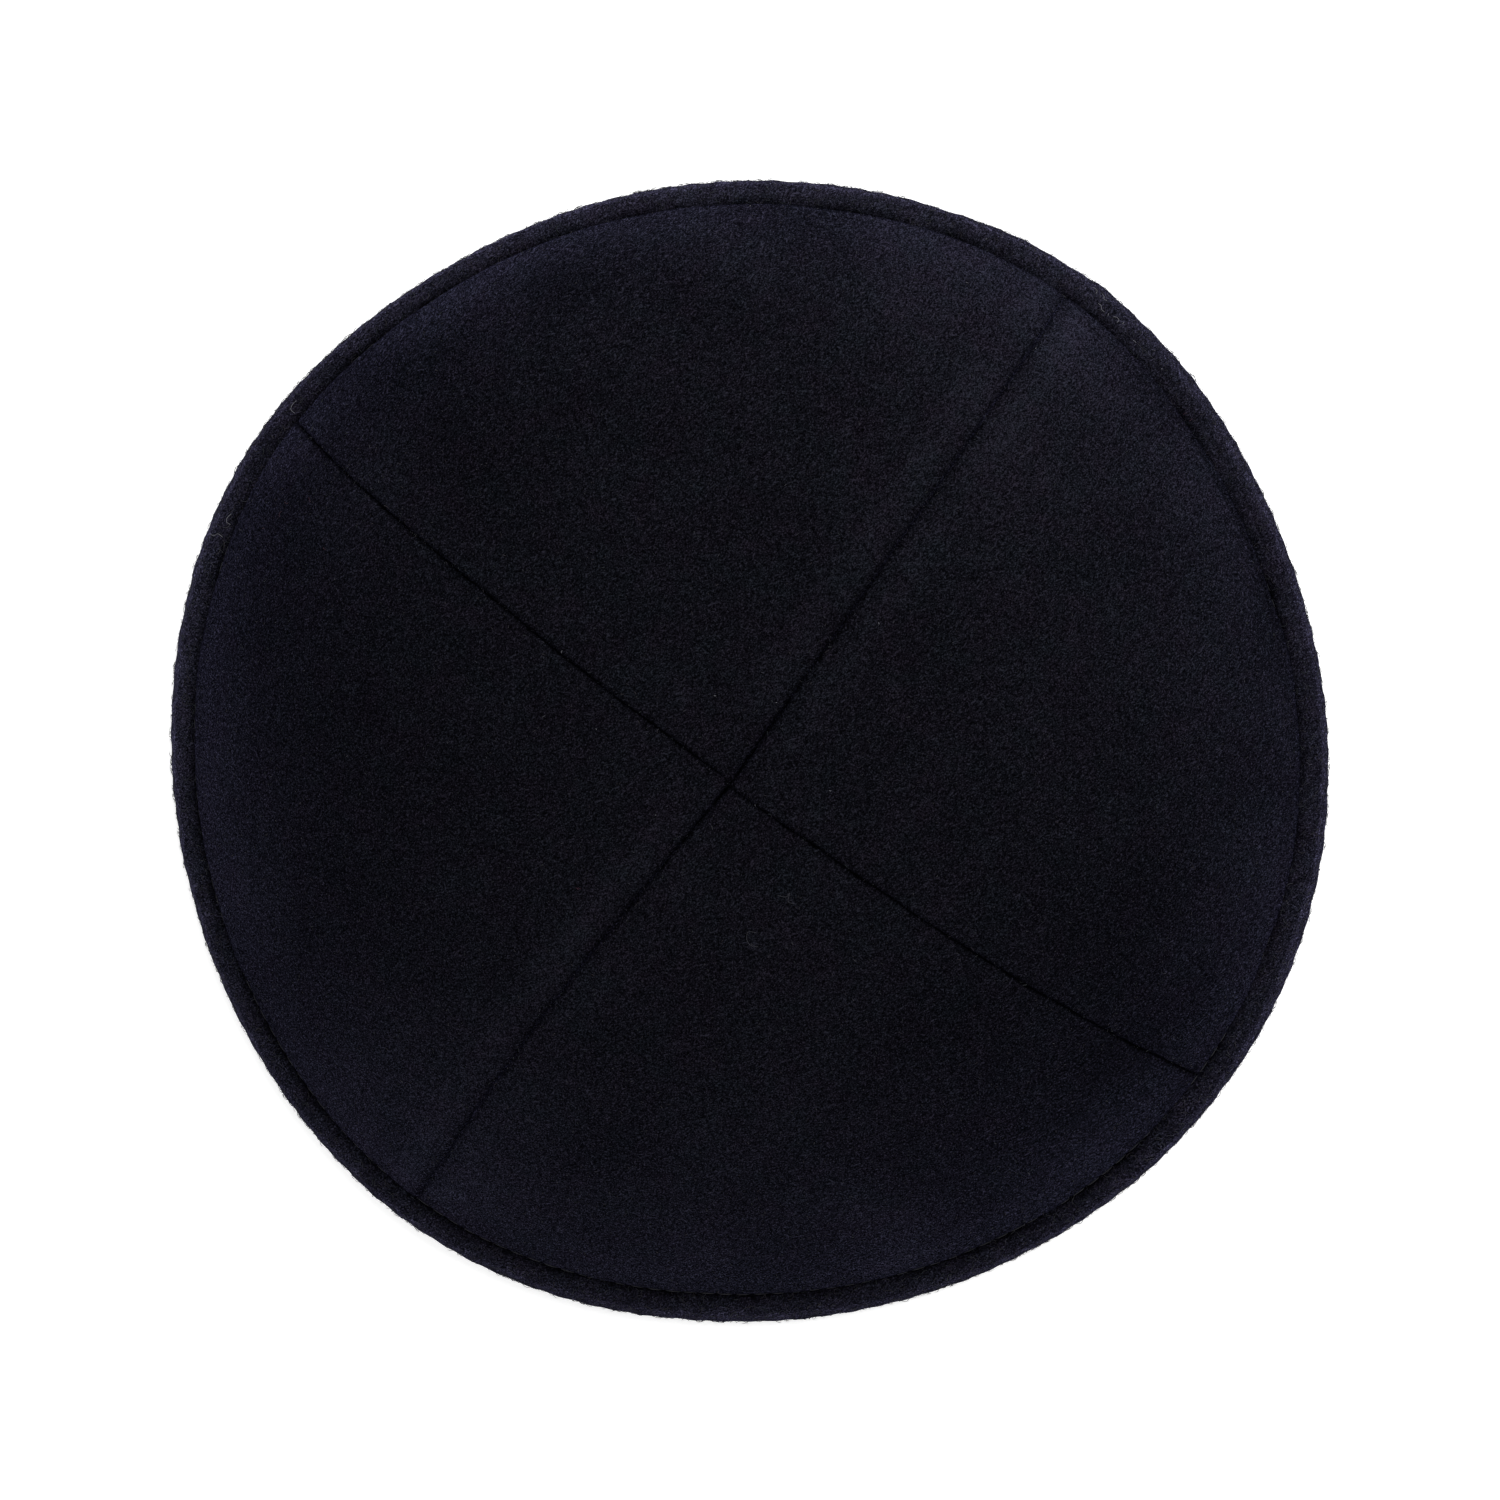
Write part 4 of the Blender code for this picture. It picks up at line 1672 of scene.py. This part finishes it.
@dataclass
class Lint:
    """Strands of dust and fluff that the felt has caught."""

    name: str
    finish: StrandFinish
    strands: Tuple[LooseStrand, ...] = ()
    bits: Tuple[Tuple[float, float], ...] = ()
    bit_length: float = 0.38
    bit_lengths: Tuple[float, float] = (0.5, 1.4)
    bit_bend: float = 2.6
    thickness: float = 0.000045
    lift: float = 0.08
    steps: int = 5
    smoothing: int = 3
    seed: int = 5

    @staticmethod
    def _tree() -> Tree:
        """Builds the tree that gives lines their thickness.

        Returns:
            The tree.
        """
        made = GeometryBuilder(
            "loose strands", {"Thickness": "NodeSocketFloat", "Material": "NodeSocketMaterial"}
        )
        line = made.node("GeometryNodeMeshToCurve", None, {"Mesh": made.given("Geometry")})
        return made.finish(made.thickened(made.output(line), made.given("Thickness"), sides=4))

    def _laid(self) -> List[Array]:
        """Returns every strand's points from above, smoothed."""
        chance = np.random.default_rng(self.seed)
        laid = []
        for strand in self.strands:
            corners = np.array(strand.points)
            place = np.linspace(0, len(corners) - 1, (len(corners) - 1) * self.steps + 1)
            numbers = np.arange(len(corners))
            track = np.stack([np.interp(place, numbers, corners[:, k]) for k in (0, 1)], -1)
            for _ in range(self.smoothing):
                track[1:-1] = (track[:-2] + 2 * track[1:-1] + track[2:]) / 4
            laid.append(track)
        for x, y in self.bits:
            turn, bend = chance.uniform(0, math.tau), chance.uniform(-self.bit_bend, self.bit_bend)
            length = self.bit_length * chance.uniform(*self.bit_lengths)
            angles = turn + np.linspace(0, bend, self.steps)
            steps = length / self.steps * np.stack([np.cos(angles), np.sin(angles)], -1)
            laid.append(np.array([x, y]) + np.cumsum(steps, axis=0))
        return laid

    def build(self, ground: Sequence[Object]) -> Object:
        """Lays the strands on the felt below them.

        Args:
            ground: The pieces that they may lie on.

        Returns:
            The strands as one object.
        """
        trees = [
            BVHTree.FromPolygons(
                [corner.co for corner in piece.data.vertices],
                [tuple(face.vertices) for face in piece.data.polygons],
            )
            for piece in ground
        ]
        points: List[Tuple[float, float, float]] = []
        edges: List[Tuple[int, int]] = []
        for track in self._laid():
            first = len(points)
            for x, y in (track * MILLIMETRE).tolist():
                above = Vector((x, y, DROP_HEIGHT))
                falls = [tree.ray_cast(above, Vector((0, 0, -1)))[0] for tree in trees]
                levels = [fall.z for fall in falls if fall is not None]
                if not levels:
                    continue
                points.append((x, y, max(levels) + self.lift * MILLIMETRE))
            edges += [(k, k + 1) for k in range(first, len(points) - 1)]
        lines = Maker.lines("strand_lines", points, edges)
        inputs = {"Thickness": self.thickness, "Material": self.finish.material()}
        return Maker.grown(lines, self.name, self._tree(), inputs)


LINT_STRANDS: Tuple[LooseStrand, ...] = tuple(
    LooseStrand(points)
    for points in (
        ((-57.40, 63.51), (-58.25, 62.95), (-58.45, 62.25), (-57.85, 61.70)),
        ((-69.84, 48.44), (-70.62, 47.95), (-70.78, 47.30), (-70.15, 46.90)),
        ((-73.72, 45.98), (-73.09, 45.59), (-72.38, 45.93), (-71.67, 45.22)),
        ((66.70, 52.50), (66.95, 52.25), (67.10, 52.00)),
        ((62.50, 58.60), (62.90, 58.20), (62.80, 57.60), (63.20, 57.20)),
        ((64.40, 56.30), (64.90, 56.20), (65.20, 55.70), (64.80, 55.40)),
        ((62.10, 61.10), (62.50, 60.90), (62.70, 60.40), (62.40, 60.10)),
        ((63.30, 60.00), (63.60, 59.60), (63.40, 59.10), (63.90, 58.80)),
    )
)
FAINT_STRANDS: Tuple[LooseStrand, ...] = tuple(
    LooseStrand(points)
    for points in (
        ((67.30, 51.80), (68.12, 50.76), (68.60, 50.10), (69.51, 49.05)),
        ((0.30, -21.20), (-0.90, -20.70), (-1.30, -21.90), (-0.90, -22.90), (0.20, -23.20)),
        ((4.10, -16.40), (5.30, -16.90), (5.90, -16.10), (5.20, -17.60), (6.20, -17.90)),
    )
)
LINT_BITS: Tuple[Tuple[float, float], ...] = (
    (43.59, 64.47), (47.63, 70.51), (52.01, 53.22), (81.28, 28.30), (-20.18, 21.89), (23.81, 18.96),
    (0.09, 12.61), (8.27, 10.17), (-17.21, 10.64), (-10.98, -2.57), (13.76, -2.95), (3.09, -3.56),
    (14.09, 81.03), (63.80, 57.00), (65.60, 54.90), (70.40, 47.60),
)
ROSE_BITS: Tuple[Tuple[float, float], ...] = (
    (-23.8, -10.9), (72.4, 40.2), (-23.4, -11.5), (72.9, 39.4), (-60.1, 47.4), (-55.6, 49.0),
    (-59.0, 48.8), (-63.6, 45.3), (-53.6, 41.5),
)


# Stitches


class StitchRow(Enum):
    """Where a row of the binding's stitches shows."""

    OUTSIDE = "outside"
    INSIDE = "inside"


@dataclass
class BindingStitches:
    """The row of stitches that holds the binding, sunk beside the strip's edge."""

    binding: RimBinding
    finish: StrandFinish
    pitch: float = 0.0027
    length: float = 0.0020
    thread: float = 0.00016
    steps: int = 720
    above_edge: float = 0.0001
    sunk: float = 0.00036
    below_inner_edge: float = 0.0013

    def _tree(self) -> Tree:
        """Builds the tree that lays stitches along a line.

        Returns:
            The tree.
        """
        made = GeometryBuilder(
            "row of stitches",
            {
                "Pitch": "NodeSocketFloat",
                "Length": "NodeSocketFloat",
                "Thread": "NodeSocketFloat",
                "Material": "NodeSocketMaterial",
            },
        )
        line = made.node("GeometryNodeMeshToCurve", None, {"Mesh": made.given("Geometry")})
        even = made.node(
            "GeometryNodeResampleCurve",
            {"mode": "LENGTH"},
            {"Curve": made.output(line), "Length": made.given("Pitch")},
        )
        tangent = made.output(made.node("GeometryNodeInputTangent"))
        facing = made.node("FunctionNodeAlignRotationToVector", {"axis": "X"}, {"Vector": tangent})
        arch = made.bow((-0.5, 0, -0.06), (0, 0, 0.10), (0.5, 0, -0.06), steps=4)
        length = made.given("Length")
        placed = made.node(
            "GeometryNodeInstanceOnPoints",
            None,
            {
                "Points": made.output(even),
                "Instance": made.thickened(arch, made.number("Thread") / made.number("Length"), sides=5),
                "Rotation": made.output(facing),
                "Scale": made.vector(length, length, length),
            },
        )
        return made.finish(made.output(placed))

    def build(self, row: StitchRow) -> Object:
        """Lays one row of stitches.

        Args:
            row: The row.

        Returns:
            The stitches as one object.
        """
        form, binding = self.binding.form, self.binding
        azimuth = np.linspace(0, math.tau, self.steps, endpoint=False)
        if row is StitchRow.OUTSIDE:
            share = form.share_above(binding.width(azimuth) + self.above_edge, azimuth)
            proud = np.full_like(azimuth, -self.sunk)
        else:
            height = binding.inside_width - self.below_inner_edge
            share = form.share_above(np.full_like(azimuth, height), azimuth)
            proud = np.full_like(azimuth, -form.felt - binding.cloth - binding.inside_gap)
        points = turned(azimuth, *form.section(share, azimuth, proud))
        edges = [(k, (k + 1) % self.steps) for k in range(self.steps)]
        line = Maker.lines("stitch_line", points.tolist(), edges)
        inputs = {
            "Pitch": self.pitch,
            "Length": self.length,
            "Thread": self.thread,
            "Material": self.finish.material(),
        }
        return Maker.grown(line, f"binding_stitches_{row.value}", self._tree(), inputs)


# Studio


@dataclass(frozen=True)
class SoftLight:
    """A square soft box that faces the cap."""

    name: str
    azimuth_deg: float
    elevation_deg: float
    distance: float
    size: float
    power: float


@dataclass(frozen=True)
class Viewpoint:
    """The camera's place, as seen from the origin."""

    tilt_deg: float = 5.06
    lean_deg: float = 50.82
    roll_deg: float = -9.17
    distance: float = 0.6304
    lens: float = 100.0
    sensor: float = 36.0
    shift: Tuple[float, float] = (3.7 / 1500, 6.2 / 1500)


@dataclass
class Studio:
    """A pale lit table, a soft sky and soft boxes."""

    view: Viewpoint = Viewpoint()
    sky: float = 0.5
    table_colour: Colour = (0.86, 0.86, 0.86)
    table_glow: float = 0.50
    table_size: float = 6.0
    lights: Tuple[SoftLight, ...] = (
        SoftLight("key", azimuth_deg=50, elevation_deg=46, distance=1.1, size=0.9, power=14.0),
        SoftLight("fill", azimuth_deg=235, elevation_deg=32, distance=1.2, size=0.9, power=4.0),
    )

    def _table(self) -> None:
        """Lays the table that the cap rests on."""
        half = self.table_size / 2
        corners = np.array([(-half, -half, 0), (half, -half, 0), (half, half, 0), (-half, half, 0)], float)
        table = Maker.piece("table", corners, [(0, 1, 2, 3)], closed=False)
        nodes = ShaderBuilder("white table")
        shader = nodes.surface(
            {
                "Base Color": (*self.table_colour, 1.0),
                "Roughness": 0.7,
                "Specular IOR Level": 0.2,
                "Emission Color": (1.0, 1.0, 1.0, 1.0),
                "Emission Strength": self.table_glow,
            }
        )
        table.data.materials.append(nodes.finish(shader))

    def _light(self, soft: SoftLight) -> None:
        """Hangs one soft box."""
        data = bpy.data.lights.new(soft.name, "AREA")
        data.shape = "SQUARE"
        data.size = soft.size
        data.energy = soft.power
        turn, up = math.radians(soft.azimuth_deg), math.radians(soft.elevation_deg)
        away = Vector((math.cos(turn) * math.cos(up), math.sin(turn) * math.cos(up), math.sin(up)))
        lamp = linked(soft.name, data)
        lamp.location = away * soft.distance
        lamp.rotation_euler = away.to_track_quat("Z", "Y").to_euler()

    def _sky(self) -> None:
        """Fills the room with even light."""
        world = bpy.data.worlds.new("soft sky")
        world.use_nodes = True
        back = world.node_tree.nodes["Background"]
        back.inputs["Color"].default_value = (1.0, 1.0, 1.0, 1.0)
        back.inputs["Strength"].default_value = self.sky
        bpy.context.scene.world = world

    def _camera(self) -> None:
        """Sets up the camera."""
        view = self.view
        tilt, lean, roll = (math.radians(a) for a in (view.tilt_deg, view.lean_deg, view.roll_deg))
        back = Vector((math.sin(tilt) * math.cos(lean), math.sin(tilt) * math.sin(lean), math.cos(tilt)))
        up = Vector((-math.sin(roll), math.cos(roll), 0.0))
        up = (up - back * up.dot(back)).normalized()
        data = bpy.data.cameras.new("camera")
        data.lens = view.lens
        data.sensor_width = view.sensor
        data.sensor_fit = "HORIZONTAL"
        data.shift_x, data.shift_y = view.shift
        data.clip_start, data.clip_end = 0.05, 20.0
        camera = linked("camera", data)
        turn = Matrix((up.cross(back), up, back)).transposed()
        camera.matrix_world = Matrix.Translation(back * view.distance) @ turn.to_4x4()
        bpy.context.scene.camera = camera

    def build(self) -> None:
        """Sets up the table, the lights and the camera."""
        self._table()
        self._sky()
        for soft in self.lights:
            self._light(soft)
        self._camera()
        bpy.context.scene.view_settings.view_transform = "Standard"


# The cap


@dataclass
class Skullcap:
    """All of the cap's pieces.

    The binding carries rim_density times as many fibres as the panels. It covers the last covered_rows
    rows of the panels' grids, which carry none.
    """

    form: CrownForm = CrownForm()
    panel_felt: FeltFinish = FeltFinish("panel felt")
    # The binding is the same felt as the panels, but its colours are painted about 1.7 times lighter, with
    # more sheen, for the light that the strip catches on the rim.
    binding_felt: FeltFinish = FeltFinish(
        "binding felt",
        teal=(0.0185, 0.0212, 0.0310),
        violet=(0.0232, 0.0196, 0.0325),
        seed=(0.4, 0.9, 0.2),
        sheen=0.50,
        sheen_roughness=0.50,
        sheen_tint=(0.54, 0.51, 0.96),
    )
    thread: StrandFinish = StrandFinish("navy thread", (0.006, 0.006, 0.010), roughness=0.6)
    rim_density: float = 1.8
    covered_rows: int = 12

    def build(self) -> None:
        """Builds and dresses the pieces in order."""
        binding = RimBinding(self.form)
        strip = binding.build()
        self._dress(strip, "binding_felt", self.binding_felt.material(), binding.node)
        felt = self.panel_felt.material()
        panels: List[FeltPanel] = []
        felts: List[Object] = []
        for name, right, left, side in (
            ("back", "back_right", "back_left", 1.0),
            ("left", "back_left", "front_left", 1.0),
            ("front", "front_left", "front_right", -1.0),
            ("right", "front_right", "back_right", -1.0),
        ):
            panel = FeltPanel(
                f"felt_{name}", f"panel_{name}", SEAMS[right], SEAMS[left], side, self.form, binding
            )
            felts.append(panel.build())
            self._dress(felts[-1], "panel_felt", felt, panel.node)
            panels.append(panel)
        self._nap(panels, binding)
        pale = StrandFinish("pale fluff", (0.095, 0.095, 0.110))
        faint = StrandFinish("faint fluff", (0.030, 0.030, 0.038))
        rose = StrandFinish("rose fluff", (0.030, 0.008, 0.018))
        for lint in (
            Lint("lint_pale", pale, LINT_STRANDS, LINT_BITS),
            Lint("lint_faint", faint, FAINT_STRANDS, thickness=0.000026),
            Lint("lint_rose", rose, (), ROSE_BITS, bit_length=1.0, thickness=0.000026),
        ):
            self._dress(lint.build([*felts, strip]), "panel_felt")
        stitches = BindingStitches(binding, self.thread)
        for row in StitchRow:
            self._dress(stitches.build(row), "binding_felt")

    def _nap(self, panels: Sequence[FeltPanel], binding: RimBinding) -> None:
        """Strews loose fibres over the outside of the panels and the binding."""
        tree = Nap.tree()
        tops = [panel.outside[: -self.covered_rows] for panel in panels]
        for shade in NAP_SHADES:
            finish = StrandFinish(f"{shade.name} wool", shade.colour)
            nap = Nap(
                f"nap_{shade.name}", finish, shade.density, length=0.0013, thickness=0.00004, lift=0.2,
                seed=shade.seed,
            )
            self._dress(nap.build(tops, tree), "panel_felt")
            edge = Nap(
                f"nap_rim_{shade.name}", finish, shade.density * self.rim_density, length=0.0009,
                thickness=0.000030, lift=0.45, seed=shade.rim_seed,
            )
            self._dress(edge.build([binding.outside], tree), "binding_felt")

    @staticmethod
    def _dress(
        piece: Object,
        slot: str,
        material: Optional[Material] = None,
        node: Optional[str] = None,
    ) -> None:
        """Gives a piece its material and body and, where it stands for an imported part, hides that part.

        Args:
            piece: The piece.
            slot: Not used.
            material: Its material, where it has none yet.
            node: The node that it replaces, if any.
        """
        if material is not None:
            piece.data.materials.clear()
            piece.data.materials.append(material)
        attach(piece, BODY)
        if node is not None:
            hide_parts(node)
        triangles = sum(len(face.vertices) - 2 for face in piece.data.polygons)
        LOG.info("%s: %d triangles", piece.name, triangles)


def main() -> None:
    """Builds the studio and the cap."""
    logging.basicConfig(level=logging.INFO, format="%(message)s")
    Studio().build()
    Skullcap().build()


if __name__ == "__main__":
    main()
